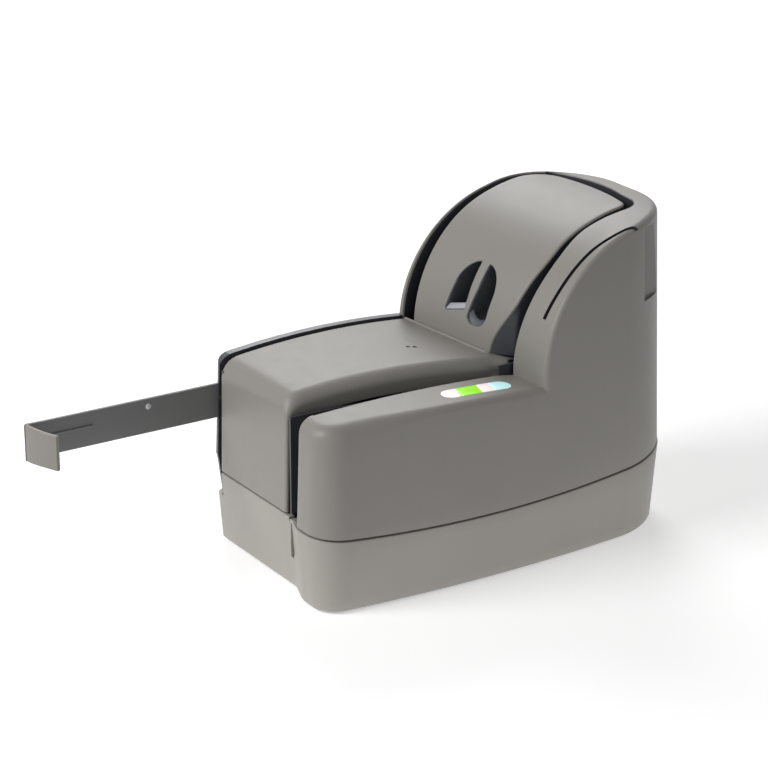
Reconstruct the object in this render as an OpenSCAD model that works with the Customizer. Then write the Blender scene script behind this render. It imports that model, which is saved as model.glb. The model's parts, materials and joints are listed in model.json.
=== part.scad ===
// Desktop cheque scanner. The cheque stands on its long edge in a U shaped track.
// Frame: +X towards the tower, -Y towards the user, +Z up, millimetres.
// The origin lies on the table under the middle of the underside.

/* [Casing] */
// Distance from the origin to the left end of the underside
left_end = 115; // [105:1:122]
// Distance from the origin to the far side of the underside
far_side = 62.3; // [60:0.1:66]
// Distance from the origin to the middle of the bowed front
front_mid = 71; // [69:0.5:75]
// Radius of the bow of the front
front_r = 900; // [700:50:1500]
// Radius of the two tall corners at the tower end
corner_r = 55.3; // [50:0.1:58]
// Radius of the nose at the front left
nose_r = 15.3; // [10:0.1:18]
// How far the outline flares out from the underside to the seam
flare = 2.8; // [0:0.1:4]
// Draft of the shells above the seam, in degrees
draft = 2; // [0.5:0.5:3]
// Wall of the casing shells
wall = 2.5; // [2:0.1:3]

/* [Heights] */
// Lowest point of the seam between the base and the upper shells
seam_z = 41.2; // [38:0.1:44]
// Radius of the seam's upward curve
seam_r = 1270; // [900:10:2000]
// Crown of the front fender
fender_z = 112.2; // [109:0.1:114]
// Top of the tower
tower_z = 192; // [190:0.5:194]
// Top of the deck over the inner block
deck_z = 117.9; // [115:0.1:120]

/* [Tower] */
// Radius of the tower's rounded front
arc_r = 77.5; // [74:0.5:80]
// Distance of the round's axis to the right of the origin, at the near band
arc_x = 97; // [94:1:100]
// Height of the round's axis
arc_z = 111.5; // [110:0.5:113]
// Angle before the top where the round passes into the flatter crown
crown_turn = 20; // [15:1:25]
// Turn of the tower front about the vertical, in degrees
tower_turn = 5.2; // [0:0.2:7]

/* [Track] */
// Width of the cheque track
track_gap = 3.5; // [3:0.1:4]
// Radius of the track's middle line in the turn
turn_r = 46.75; // [45:0.25:48]
// Wall of the track guides
guide_wall = 1.6; // [1.5:0.1:1.8]
// Floor that the cheque's edge runs on
track_floor_z = 20; // [19:0.5:24]

/* [Feed] */
// Radius of a feed roller's tyre
feed_r = 9; // [8:0.5:10]
// Radius of a pinch roller
pinch_r = 6; // [5:0.5:6.5]
// Radius of a feed shaft
shaft_r = 3; // [2.5:0.5:4]
// Radius of a feed pulley
pulley_r = 9; // [8:0.5:10]
// Radius of the motor pulley
motor_pulley_r = 6; // [5:0.5:7]

/* [Exit arm] */
// How far the arm is pulled out of its guide
arm_reach = 120; // [80:5:120]
// Height of the arm's strip
arm_h = 20.6; // [18:0.2:22]
// Length of the hooked end plate
hook_len = 26; // [20:1:30]

/* [Hidden] */

// Colours of the finishes
shell_grey = [0.62, 0.61, 0.58];
shell_grey_low = [0.57, 0.55, 0.52];
guide_dark = [0.17, 0.18, 0.20];
steel = [0.70, 0.71, 0.72];
rubber_black = [0.08, 0.08, 0.09];
board_green = [0.05, 0.32, 0.16];

// Places of the outline's arcs
nose_x = -106;
nose_y = -50.3;
corner_x = 75;
near_corner_y = -front_mid + corner_r + 4;
far_corner_y = far_side - corner_r;
front_x = -8;
left_corner_r = 4;
nose_step = nose_r - 9;

// Turned front of the tower
arc_y = -55;
crown_start = arc_r * sin(crown_turn);
crown_r = (tower_z - arc_z - arc_r * cos(crown_turn)) / (1 - cos(crown_turn));
crown_q = (crown_r - arc_r) * sin(crown_turn);
seam_x = -16;
joint_line = 0.4;

// Middle lines of the track
turn_x = 73;
near_y = -37.5;
turn_y = near_y + turn_r;
far_y = near_y + 2 * turn_r;
mouth_x = -117;
mouth_y = -23.5;
track_start_x = 10;
half_gap = track_gap / 2;

// Hinge of the tower cover
hinge_x = 95;
hinge_z = 186;
hinge_rod_r = 1.5;

// Levels inside
under_z = 1.2;
plate_t = 2;
chassis_z = 16;
chassis_t = 1.5;
frame_z = 103;
belt_z = 8;
belt_w = 5;
guide_top_z = 107;

// Feed rollers stand inside the track and touch its middle line
nip = 0.15;
feed_places = [
    [24, near_y + feed_r + nip],
    [66, near_y + feed_r + nip],
    [turn_x + turn_r - feed_r - nip, turn_y],
    [38, far_y - feed_r - nip],
    [-60, far_y - feed_r - nip]
];
pinch_places = [[24, near_y - pinch_r - nip], [66, near_y - pinch_r - nip]];
motor_place = [-26, 2];
tyre_levels = [38, 84];
tyre_h = 12;
screw_places = [[-104, -48, 180], [-104, 38, 180], [104, -38, -42], [104, 36, 45]];
post_places = [[-88, -8], [-88, 40], [20, 10], [84, 10]];

// Exit arm and its guide on the far side
arm_t = 2.4;
arm_y = 58.95;
arm_z = 77;
arm_inner_x = -94;
arm_tip_x = mouth_x - arm_reach - 1;
guide_end_x = 9.5;
slide_gap = 0.2;

// Status light on the fender
light_x = [-39, -28, -14, 7];
light_y = -57.2;
light_turn = -5;
light_w = 12;

// Small places
standoff_places = [[-70, -50], [-71, 12], [60, -52], [60, 8], [0, 32]];
foot_places = [[-96, -32], [-96, 22], [88, -22], [88, 34], [0, 0]];
foot_r = 7;
bush_r = 4.4;
ear_places = [-23, 30];
bracket_places = [-18, 26.5];
bracket_t = 2;
bracket_head_r = 2.9;
near_lobe = [0.8, 144.3];
far_lobe = [4.2, 145];
pocket_depth = 13;
magnet_x = 36;
head_x = 47;
magnet_z = [21, 36.5];
front_sensor_x = 50;
rear_sensor_x = 6;
cartridge_x = 63;
sensor_places = [[2, track_y(2) + half_gap + guide_wall, 60], [-30, far_y - half_gap - guide_wall, 60]];
rivet_x = -161;
rivet_z = 93;
rivet_r = 1.8;
sockets = [[-97, 12, 9], [-84, 11, 9]];

function arc_points(c, r, a0, a1, n) =
    [for (i = [0:n]) let (a = a0 + (a1 - a0) * i / n) [c[0] + r * cos(a), c[1] + r * sin(a)]];

// Front of the outline, grown outwards by d
function front_y(x, d) = front_r - front_mid - sqrt(pow(front_r + d, 2) - pow(x - front_x, 2));

// Outline of the casing in plan, grown outwards by d, counter-clockwise from the nose
function plan_points(d) = concat(
    arc_points([corner_x, far_corner_y], corner_r + d, 0, 90, 12),
    arc_points(
        [-left_end + left_corner_r, far_side - left_corner_r], max(left_corner_r + d, 0.5), 90, 180, 4
    ),
    [for (i = [0:5]) let (t = i / 5) [-left_end - d - nose_step * t * t * (3 - 2 * t), -20 - 24 * t]],
    arc_points([nose_x, nose_y], nose_r + d, 180, 264, 7),
    [for (i = [1:8]) let (x = -107 + i * 20.8) [x, front_y(x, d)]],
    arc_points([corner_x, near_corner_y], corner_r + d, -84, 0, 12)
);

// Growth of the outline at a height above the seam
function shell_d(z) = flare - (z - seam_z) * tan(draft);

// Middle line of the track from the open mouth to the first roller
function track_y(x) = mouth_y + (near_y - mouth_y) * pow((x - mouth_x) / (track_start_x - mouth_x), 1.7);

// Height of the deck along its length
deck_mid_x = -44;
deck_r = 520;
function deck_height(x) = deck_z - deck_r + sqrt(deck_r * deck_r - pow(x - deck_mid_x, 2));

// Solid through the casing outline at several levels, each [height, growth]
module loft(levels) {
    rings = [for (l = levels) plan_points(l[1])];
    n = len(rings[0]);
    m = len(levels);
    polyhedron(
        points = [for (k = [0:m - 1]) for (p = rings[k]) [p[0], p[1], levels[k][0]]],
        faces = concat(
            [[for (i = [0:n - 1]) i]],
            [[for (i = [n - 1:-1:0]) (m - 1) * n + i]],
            [for (k = [0:m - 2]) for (i = [0:n - 1])
                [k * n + i, k * n + n + i, k * n + n + (i + 1) % n]],
            [for (k = [0:m - 2]) for (i = [0:n - 1])
                [k * n + i, k * n + n + (i + 1) % n, k * n + (i + 1) % n]]
        ),
        convexity = 6
    );
}

// Height of the seam along the casing
function seam_height(x) = seam_z + seam_r - sqrt(seam_r * seam_r - pow(x - seam_x, 2));

// Everything above the curved seam, lifted by up
module above_seam(up) {
    translate([0, 150, up])
        rotate([90, 0, 0])
            linear_extrude(300)
                polygon(concat(
                    [for (x = [-160:16:160]) [x, seam_height(x)]],
                    [[160, 400], [-160, 400]]
                ));
}

// Round front of the tower as a cylinder across the casing
module tower_round(r, y0, y1) {
    translate([arc_x, arc_y, arc_z])
        rotate([0, 0, tower_turn])
            translate([0, y1 - arc_y, 0])
                rotate([90, 0, 0])
                    cylinder(r = r, h = y1 - y0, $fn = 180);
}

// Flatter crown to the right of the round front
module tower_crown(r, y0, y1) {
    translate([arc_x, arc_y, 0])
        rotate([0, 0, tower_turn])
            intersection() {
                translate([crown_q, y1 - arc_y, tower_z - crown_r])
                    rotate([90, 0, 0])
                        cylinder(r = r, h = y1 - y0, $fn = 240);
                translate([-crown_start, y0 - arc_y, arc_z])
                    cube([crown_start + crown_q, y1 - y0, tower_z]);
            }
}

// Level part of the tower's top, down to the height of the round's axis
module tower_flat(top, y0, y1) {
    translate([arc_x, arc_y, 0])
        rotate([0, 0, tower_turn])
            translate([crown_q - 0.01, y0 - arc_y, arc_z])
                cube([70, y1 - y0, top - arc_z]);
}

// Tower with its edges eased, every face moved inwards by inset
module tower_form(inset) {
    ease = 4;
    intersection() {
        loft([
            [seam_z - 6, shell_d(seam_z - 6) - inset],
            [tower_z - 7 - inset, shell_d(tower_z - 7) - inset],
            [tower_z - 3 - inset, shell_d(tower_z) - inset - 1.2],
            [tower_z - 1 - inset, shell_d(tower_z) - inset - 3],
            [tower_z - inset, shell_d(tower_z) - inset - 6]
        ]);
        union() {
            hull() {
                tower_round(arc_r - inset, -64, 64);
                tower_round(arc_r - inset - ease, -72, 72);
            }
            hull() {
                tower_crown(crown_r - inset, -64, 64);
                tower_crown(crown_r - inset - ease, -72, 72);
            }
            tower_flat(tower_z + 1, -100, 100);
            translate([arc_x, arc_y, 0])
                rotate([0, 0, tower_turn])
                    translate([-arc_r + inset, -60, 0])
                        cube([160, 220, arc_z]);
        }
    }
}

// Front fender with its edges eased, every face moved inwards by inset
module fender_form(inset, right_x, inner_y) {
    r = 7;
    crown_r = 1000;
    crown_x = -62;
    intersection() {
        loft([
            [seam_z - 6 - inset, shell_d(seam_z - 6) - inset],
            [fender_z - r - inset - 1, shell_d(fender_z - r) - inset],
            [fender_z - 0.5 * r - inset - 1, shell_d(fender_z) - inset - 0.14 * r],
            [fender_z - 0.14 * r - inset - 1, shell_d(fender_z) - inset - 0.5 * r],
            [fender_z - inset, shell_d(fender_z) - inset - r]
        ]);
        translate([-140, -100, 0])
            cube([140 + right_x, 100 + inner_y, 200]);
        translate([0, 0, -inset])
            rotate([90, 0, 0])
                linear_extrude(120)
                    polygon(concat(
                        [for (x = [-136:12:56]) [x, fender_z - pow(x - crown_x, 2) / (2 * crown_r)]],
                        [[56, 0], [-136, 0]]
                    ));
    }
}

// Opening of the outer shell around the inner block, grown by e
module shell_opening(e) {
    polygon(concat(
        [[-150, -40 - e], [12, -40 - e], [19, -44 - e], [48, -44 - e], [60, -40.8 - e], [72, -38.9 - e]],
        arc_points([102.5, -29], 9.2 + e, -90, -22, 5),
        arc_points([30.4, 8], 86.6 + e, -22, 22, 6),
        arc_points([84, 27], 30.2 + e, 34, 90, 7),
        [[guide_end_x, 57.2 + e], [guide_end_x, 100], [-150, 100]]
    ));
}

// Front fender, hood band, right end and far wall in one shell
module outer_shell() {
    lip_z = 120;
    color(shell_grey)
        difference() {
            union() {
                fender_form(0, 30, -38);
                tower_form(0);
            }
            below_seam(joint_line);
            translate([0, 0, 20])
                linear_extrude(200)
                    shell_opening(0);
            fender_form(wall, 26, -40 - wall);
            intersection() {
                tower_form(wall);
                difference() {
                    translate([-20, -100, 0])
                        cube([200, 200, 200]);
                    translate([0, 0, lip_z])
                        linear_extrude(100)
                            shell_opening(wall - 0.4);
                }
            }
            light_slot(0);
            translate([track_start_x - 0.5, near_y - half_gap - guide_wall - 0.3, 0])
                cube([29.5, 10, 115]);
        }
}

// Everything below the curved seam, lifted by up
module below_seam(up) {
    translate([0, 150, up])
        rotate([90, 0, 0])
            linear_extrude(300)
                polygon(concat(
                    [for (x = [-160:16:160]) [x, seam_height(x)]],
                    [[160, -10], [-160, -10]]
                ));
}

module base_form() {
    loft([[under_z, -1.4], [under_z + 1.4, -0.2], [seam_z + 12, flare + 0.6]]);
}

// Lower housing below the seam
module base_housing() {
    color(shell_grey_low)
        difference() {
            union() {
                difference() {
                    base_form();
                    loft([[under_z - 1, -wall], [seam_z + 20, flare - wall + 0.6]]);
                }
                funnel_floor();
                screw_bosses();
            }
            above_seam(0);
            translate([0, 0, track_floor_z])
                linear_extrude(60)
                    mouth_strip(half_gap);
            translate([-130, far_y - half_gap, 30])
                cube([30, 30, 40]);
            for (p = screw_places)
                translate([p[0], p[1], under_z])
                    cylinder(r = 1.3, h = 11, $fn = 32);
            socket_places(0.3);
        }
}

// Floor of the funnel in front of the track, just under the seam
module funnel_floor() {
    intersection() {
        linear_extrude(80)
            intersection() {
                polygon(plan_points(flare - wall / 2));
                polygon(concat(
                    [for (i = [0:8]) let (x = -130 + i * 17.4) [x, track_y(max(x, mouth_x))]],
                    [[9.2, -80], [-130, -80]]
                ));
            }
        above_seam(-wall);
    }
}

// Strip along the track's middle line in the funnel, running out at the left
module mouth_strip(half) {
    lead = 10;
    steps = 12;
    polygon(concat(
        [for (i = [0:steps]) let (x = mouth_x + (track_start_x - mouth_x) * i / steps)
            [i == 0 ? x - lead : x, track_y(x) - half]],
        [for (i = [steps:-1:0]) let (x = mouth_x + (track_start_x - mouth_x) * i / steps)
            [i == 0 ? x - lead : x, track_y(x) + half]]
    ));
}

// Funnel side wall between two offsets from the middle line
module mouth_wall(w0, w1, start_x) {
    steps = 12;
    pitch = (track_start_x - start_x) / steps;
    polygon(concat(
        [for (i = [0:steps]) let (x = start_x + pitch * i) [x, track_y(x) + w0]],
        [for (i = [steps:-1:0]) let (x = start_x + pitch * i) [x, track_y(x) + w1]]
    ));
}

// Filled U shape on the track's middle line in the tower, grown by w
module u_shape(w) {
    union() {
        translate([turn_x, turn_y])
            circle(r = turn_r + w, $fn = 120);
        translate([track_start_x, turn_y - turn_r - w])
            square([turn_x - track_start_x, 2 * (turn_r + w)]);
    }
}

// U shaped wall between two offsets from the middle line, open on the left
module u_wall(w0, w1) {
    difference() {
        u_shape(w1);
        u_shape(w0);
        translate([track_start_x - 1, turn_y - turn_r - w0])
            square([10, 2 * (turn_r + w0)]);
    }
}

// Four bosses for the screws of the bottom plate, each with a rib to the wall
module screw_bosses() {
    translate([0, 0, under_z + plate_t])
        linear_extrude(11)
            intersection() {
                polygon(plan_points(-wall / 2));
                for (p = screw_places)
                    translate([p[0], p[1]]) {
                        circle(r = 4, $fn = 48);
                        rotate(p[2])
                            translate([0, -1])
                                square([24, 2]);
                    }
            }
}

// Flat plate that closes the base, with the stand-offs of the chassis
module bottom_plate() {
    color(guide_dark)
        difference() {
            union() {
                translate([0, 0, under_z])
                    linear_extrude(plate_t)
                        polygon(plan_points(-wall - 0.6));
                for (p = standoff_places)
                    translate([p[0], p[1], under_z])
                        cylinder(r = 4, h = chassis_z - under_z, $fn = 48);
            }
            for (p = screw_places)
                translate([p[0], p[1], 0]) {
                    cylinder(r = 1.6, h = 8, $fn = 32);
                    cylinder(r = 3.2, h = under_z + 1, $fn = 48);
                }
            for (p = foot_places)
                translate([p[0], p[1], 0])
                    cylinder(r = foot_r, h = under_z + 1, $fn = 64);
            for (p = standoff_places)
                translate([p[0], p[1], chassis_z - 7])
                    cylinder(r = 1.3, h = 8, $fn = 32);
        }
}

module rubber_feet() {
    color(rubber_black)
        for (p = foot_places)
            translate([p[0], p[1], 0])
                cylinder(r = foot_r, h = under_z + 1, $fn = 64);
}

module bottom_screws() {
    color(steel)
        for (p = screw_places)
            translate([p[0], p[1], under_z + 0.2])
                difference() {
                    union() {
                        cylinder(r = 3, h = 0.8, $fn = 48);
                        cylinder(r = 1.3, h = 10, $fn = 32);
                    }
                    translate([-2, -0.3, -1])
                        cube([4, 0.6, 1.4]);
                    translate([-0.3, -2, -1])
                        cube([0.6, 4, 1.4]);
                }
}

// Form of the deck over the inner block, every face moved inwards by inset
module deck_form(inset) {
    roll = 12;
    near_roll = 8;
    end_x = -left_end - 3;
    lean = 1.6;
    intersection() {
        linear_extrude(200)
            polygon(concat(
                [for (i = [0:10]) let (x = end_x + inset + i * (22 - end_x - inset) / 10)
                    [x, track_y(min(max(x, mouth_x), track_start_x)) + 5.2 + inset]],
                [[22, 55 - inset], [end_x + inset, 55 - inset]]
            ));
        translate([0, 80, 0])
            rotate([90, 0, 0])
                linear_extrude(140)
                    polygon(concat(
                        [[22, seam_z - 4], [22, deck_height(22) - inset]],
                        [for (x = [10:-14:-102]) [x, deck_height(x) - inset]],
                        arc_points([end_x + lean + roll, deck_height(-106) - roll], roll - inset, 92, 180, 6),
                        [[end_x + inset, seam_z - 4]]
                    ));
        translate([mouth_x, mouth_y + 5.2, 0])
            rotate([0, 0, -6.4])
                rotate([90, 0, 90])
                    translate([0, 0, -10])
                        linear_extrude(180)
                            polygon(concat(
                                [[100, 0], [100, 150]],
                                [[near_roll, deck_z - 0.4 - inset]],
                                arc_points(
                                    [near_roll, deck_z - 1 - near_roll], near_roll - inset, 95, 180, 6
                                ),
                                [[inset, 0]]
                            ));
    }
}

// Cover of the inner block: deck, left end face and a short near edge
module deck_cover() {
    near_edge_z = 104.8;
    hole_r = 1.4;
    color(shell_grey)
        difference() {
            deck_form(0);
            deck_form(wall);
            below_seam(joint_line);
            tower_round(arc_r + 0.5, -80, 80);
            translate([-200, far_y - half_gap - guide_wall - 0.3, 0])
                cube([400, 20, guide_top_z + 0.3]);
            linear_extrude(near_edge_z)
                mouth_wall(0, 5.2 + wall, mouth_x + 4.5);
            translate([track_start_x - 0.5, near_y - 5, 0])
                cube([20, 20, near_edge_z]);
            for (p = [[-20.5, 6.4], [-17.3, 4.4]])
                translate([p[0], p[1], 100])
                    cylinder(r = hole_r, h = 30, $fn = 32);
        }
}

// How far the cover's near edge stands back from its long curve beside the deck
function cover_step(x) = 0.084 * pow(min(max(27 - x, 0), 11), 2);

// Share of the way from the bowed lower part of the near edge to its straight upper part
function cover_share(x) = let (t = min(max((x - 36) / 20, 0), 1)) t * t * (3 - 2 * t);

// Near edge of the cover in plan, shrunk by e
function cover_near(x, e) =
    (74.2 - sqrt(pow(113.7 - e, 2) - pow(x - 57, 2))) * (1 - cover_share(x))
    + (e - 38.2 + 0.1 * (x - 39)) * cover_share(x) + cover_step(x);

// Outline of the tower cover in plan, shrunk by e
module cover_outline(e) {
    far_edge = 52.2;
    polygon(concat(
        [for (x = [8, 12, 16, 18, 20, 22, 24, 27, 32, 36, 40, 44, 48, 52, 56, 76, 96]) [x, cover_near(x, e)]],
        arc_points([97.2, -25.3], 7.3 - e, -75, -18, 4),
        arc_points([-20, 8], 128.4 - e, -14.5, 10.5, 5),
        arc_points([84, far_edge - 23], 23 - e, 8, 90, 8),
        [for (x = [60:-15:0]) [x, far_edge - e - 6 * pow((75 - x) / 75, 2)]],
        [[0, -24]]
    ));
}

// Space of the turning cover, seen from the front: flat over the deck, then up to the hinge
module cover_space() {
    translate([0, 100, 0])
        rotate([90, 0, 0])
            linear_extrude(200)
                polygon([
                    [0, deck_height(15) + 0.5], [40, deck_height(15) + 0.5], [60, 140], [85, 167],
                    [91, 178], [hinge_x, hinge_z], [126, hinge_z], [126, 200], [0, 200]
                ]);
}

module cover_form(inset) {
    intersection() {
        linear_extrude(250)
            cover_outline(inset);
        union() {
            tower_round(arc_r - inset, -60, 80);
            tower_crown(crown_r - inset, -60, 80);
            tower_flat(tower_z - inset, -60, 80);
            translate([arc_x - 8, -80, 0])
                cube([80, 160, arc_z + 1]);
        }
    }
}

// Outline of the two finger pockets, seen from the left
module pocket_outline(grow) {
    near_r = 14.9 + grow;
    far_r = 14.6 + grow;
    bottom_r = 6.6 + grow;
    heel_r = 3.6 + grow;
    heel = [-2.6, 131];
    bottom = [-7.4, 134];
    polygon(concat(
        arc_points(near_lobe, near_r, 95, 180, 12),
        arc_points(bottom, bottom_r, 180, 262, 6),
        arc_points(heel, heel_r, 270, 360, 6),
        [[grow - 0.9, 146]]
    ));
    polygon(concat(
        arc_points(far_lobe, far_r, -2, 79.5, 10),
        [[5 - grow, 134 - grow], [20.2 + grow, 130 - grow], [20.7 + grow, 130.6 - grow]]
    ));
}

// Pocket space through the skin, down to the given depth
module pocket_space(depth, grow) {
    difference() {
        rotate([90, 0, 90])
            linear_extrude(80)
                pocket_outline(grow);
        tower_round(arc_r - depth, -60, 80);
    }
}

// Dark liner behind the two finger pockets
module finger_pockets() {
    color(guide_dark)
        difference() {
            intersection() {
                cover_form(wall);
                pocket_space(pocket_depth + 2, 1.8);
            }
            pocket_space(pocket_depth, 0);
        }
}

// Turning cover over the tower, with finger pockets and hinge ears
module tower_cover() {
    ear_r = 4;
    ear_w = 4;
    head_gap = 0.4;
    color(shell_grey)
        difference() {
            union() {
                difference() {
                    intersection() {
                        cover_form(0);
                        cover_space();
                    }
                    cover_form(wall);
                }
                for (y = ear_places)
                    translate([hinge_x, y + ear_w, hinge_z]) {
                        rotate([90, 0, 0])
                            cylinder(r = ear_r, h = ear_w, $fn = 64);
                        translate([-ear_r, -ear_w, 0])
                            cube([2 * ear_r, ear_w, tower_z - hinge_z - 2.5]);
                    }
                translate([30, -25, 127])
                    cube([2, 9, 26.5]);
            }
            pocket_space(pocket_depth + 4, 0);
            for (y = ear_places)
                translate([hinge_x, y + ear_w + 1, hinge_z])
                    rotate([90, 0, 0])
                        cylinder(r = hinge_rod_r + 0.05, h = ear_w + 2, $fn = 48);
            for (y = bracket_places)
                translate([hinge_x, y + bracket_t + head_gap, hinge_z])
                    rotate([90, 0, 0])
                        cylinder(r = bracket_head_r + head_gap, h = bracket_t + 2 * head_gap, $fn = 64);
        }
}

module cover_hinge_rod() {
    color(steel)
        translate([hinge_x, 35, hinge_z])
            rotate([90, 0, 0])
                cylinder(r = hinge_rod_r, h = 59, $fn = 48);
}

// Folded bracket that carries the hinge rod
module hinge_bracket() {
    foot_z = frame_z + chassis_t;
    plate = bracket_t;
    color(steel)
        difference() {
            union() {
                for (y = bracket_places)
                    translate([0, y + plate, 0])
                        rotate([90, 0, 0])
                            linear_extrude(plate)
                                union() {
                                    polygon([
                                        [84, foot_z], [103, foot_z], [91.5, 172], [94.5, 183.2],
                                        [92.6, 187.4], [89, 182], [85, 169]
                                    ]);
                                    translate([hinge_x, hinge_z])
                                        circle(r = bracket_head_r, $fn = 64);
                                }
                translate([84, bracket_places[0], foot_z])
                    cube([19, bracket_places[1] - bracket_places[0] + plate, plate]);
                translate([89, bracket_places[0], 165])
                    cube([2, bracket_places[1] - bracket_places[0] + plate, 6]);
            }
            translate([hinge_x, 60, hinge_z])
                rotate([90, 0, 0])
                    cylinder(r = hinge_rod_r, h = 100, $fn = 48);
            for (y = [-6, 18])
                translate([88, y, foot_z - 1])
                    cylinder(r = 1.6, h = 5, $fn = 32);
            translate([post_places[3][0], post_places[3][1], foot_z - 1])
                cylinder(r = 3.6, h = 5, $fn = 48);
        }
}

// Leaf that holds the tower cover shut by its tongue
module cover_catch_spring() {
    foot_z = frame_z + chassis_t;
    color(steel)
        translate([34, -24, foot_z])
            rotate([90, 0, 0])
                translate([0, 0, -8])
                    linear_extrude(8)
                        polygon([
                            [0, 0], [10, 0], [10, 0.6], [0.6, 0.6], [0.6, 26], [-0.6, 30], [0.6, 34],
                            [0.1, 34], [-1.3, 30], [0, 26]
                        ]);
}

// Dark inner wall of the track
module inner_guide() {
    color(guide_dark)
        difference() {
            union() {
                translate([0, 0, track_floor_z]) {
                    linear_extrude(103 - track_floor_z)
                        mouth_wall(half_gap, half_gap + guide_wall, mouth_x + 1);
                    linear_extrude(114 - track_floor_z)
                        difference() {
                            u_wall(-half_gap - guide_wall, -half_gap);
                            square([20, 200]);
                            translate([0, -100])
                                square([20, 130]);
                        }
                    linear_extrude(103 - track_floor_z)
                        intersection() {
                            u_wall(-half_gap - guide_wall, -half_gap);
                            translate([0, -100])
                                square([20.01, 130]);
                        }
                }
                translate([mouth_x + 1, far_y - half_gap - guide_wall, track_floor_z])
                    cube([21 - mouth_x, guide_wall, guide_top_z - track_floor_z]);
            }
            for (p = feed_places)
                for (z = tyre_levels)
                    translate([p[0], p[1], z - 1])
                        cylinder(r = feed_r + 1, h = tyre_h + 2, $fn = 96);
            translate([-140, -60, 0])
                cube([28.2, 140, seam_z + 4.4]);
            window(magnet_x, near_y + half_gap, 10, magnet_z);
            window(head_x, near_y + half_gap, 11, magnet_z);
            window(rear_sensor_x, far_y - half_gap - guide_wall, 9, [22, 102]);
            window(cartridge_x, far_y - half_gap - guide_wall, 10, [58, 82]);
            for (p = sensor_places)
                translate([p[0], p[1], p[2]])
                    rotate([90, 0, 0])
                        cylinder(r = 1.5, h = 12, center = true, $fn = 32);
        }
}

// Opening in a straight track wall, centred on x, between two heights
module window(x, y, w, heights) {
    translate([x - w / 2, y - 0.5, heights[0]])
        cube([w, guide_wall + 1, heights[1] - heights[0]]);
}

// Dark outer wall of the track inside the tower and under the funnel
module outer_guide() {
    color(guide_dark)
        difference() {
            union() {
                translate([0, 0, track_floor_z]) {
                    linear_extrude(114 - track_floor_z)
                        difference() {
                            u_wall(half_gap, half_gap + guide_wall);
                            square([20, 100]);
                        }
                    linear_extrude(38 - track_floor_z)
                        mouth_wall(-half_gap - guide_wall, -half_gap, mouth_x + 6);
                }
            }
            for (p = pinch_places)
                for (z = tyre_levels)
                    translate([p[0], p[1], z - 1])
                        cylinder(r = pinch_r + 1, h = tyre_h + 2, $fn = 96);
            window(front_sensor_x, near_y - half_gap - guide_wall, 9, [22, 112]);
        }
}

// Floor that the cheque's lower edge runs on
module track_floor() {
    z = chassis_z + chassis_t;
    reach = half_gap + guide_wall;
    color(guide_dark)
        translate([0, 0, z])
            linear_extrude(track_floor_z - z)
                union() {
                    u_wall(-reach, reach);
                    mouth_wall(-reach, reach, mouth_x + 6);
                    translate([mouth_x + 6, far_y - reach])
                        square([track_start_x - mouth_x - 5.9, 2 * reach]);
                }
}

// Dark far wall of the exit track, with the channel that the arm slides in
module exit_guide() {
    inner_y = far_y + half_gap;
    lift = 0.8;
    color(guide_dark)
        difference() {
            intersection() {
                loft([[track_floor_z, -3], [30, -0.6], [seam_z + 10, 2], [seam_z + 14, shell_d(seam_z)],
                    [130, shell_d(130)]]);
                translate([0, 90, 0])
                    rotate([90, 0, 0])
                        linear_extrude(90)
                            polygon(concat(
                                [[-130, 30.3], [-100.3, 30.3], [-100.3, track_floor_z],
                                    [guide_end_x, track_floor_z]],
                                [for (x = [guide_end_x:-14:-102]) [x, deck_height(x) + lift]],
                                arc_points([-left_end + 9.5, deck_height(-106) - 12 + lift], 12, 92, 180, 6)
                            ));
                translate([-130, inner_y, 0])
                    cube([130 + guide_end_x, 20, 200]);
            }
            difference() {
                translate([-100.3, inner_y + guide_wall, 0])
                    cube([200, 20, seam_z + 30]);
                above_seam(joint_line);
            }
            translate([-140, arm_y - slide_gap, arm_z - slide_gap])
                cube([200, arm_t + 2 * slide_gap, arm_h + 2 * slide_gap]);
            translate([-140, inner_y - 1, arm_z + 10.4])
                cube([56, 4, 3.2]);
            translate([-112, arm_y - slide_gap, arm_z + arm_h - 1])
                cube([32, arm_t + 2 * slide_gap, 3.2]);
        }
}

// Strip that stops the cheques as they leave, with its hooked end plate
module exit_arm() {
    rib_x = arm_tip_x + 2;
    color(shell_grey)
        difference() {
            union() {
                translate([arm_tip_x, arm_y, arm_z])
                    cube([arm_inner_x - arm_tip_x, arm_t, arm_h]);
                translate([0, 0, arm_z - 0.4])
                    linear_extrude(arm_h + 0.8)
                        polygon(concat(
                            [for (i = [0:8]) hook_point(i / 8, 0)],
                            [for (i = [8:-1:0]) hook_point(i / 8, arm_t)]
                        ));
                translate([rib_x, arm_y - 0.8, arm_z + 11.4])
                    cube([40, 0.9, 1.2]);
            }
            translate([rivet_x, arm_y - 1, rivet_z])
                rotate([-90, 0, 0])
                    cylinder(r = rivet_r, h = 6, $fn = 32);
        }
}

// Point of the hooked end plate, t from the strip to the free edge
function hook_point(t, in) = [
    arm_tip_x + in + 8 * pow(t, 1.6),
    arm_y + arm_t - t * hook_len
];

module arm_rivet() {
    color(steel)
        translate([rivet_x, arm_y, rivet_z])
            rotate([-90, 0, 0])
                cylinder(r = rivet_r, h = arm_t, $fn = 32);
}

// Bowed leaf above the arm that holds it where it is set
module arm_detent_spring() {
    z = arm_z + arm_h + 0.5;
    color(steel)
        translate([0, arm_y + arm_t - 0.2, 0])
            rotate([90, 0, 0])
                linear_extrude(arm_t - 0.4)
                    polygon([
                        [-110, z + 1.4], [-97, z], [-95, z], [-82, z + 1.4], [-82, z + 1.7],
                        [-95, z + 0.35], [-97, z + 0.35], [-110, z + 1.7]
                    ]);
}

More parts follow.
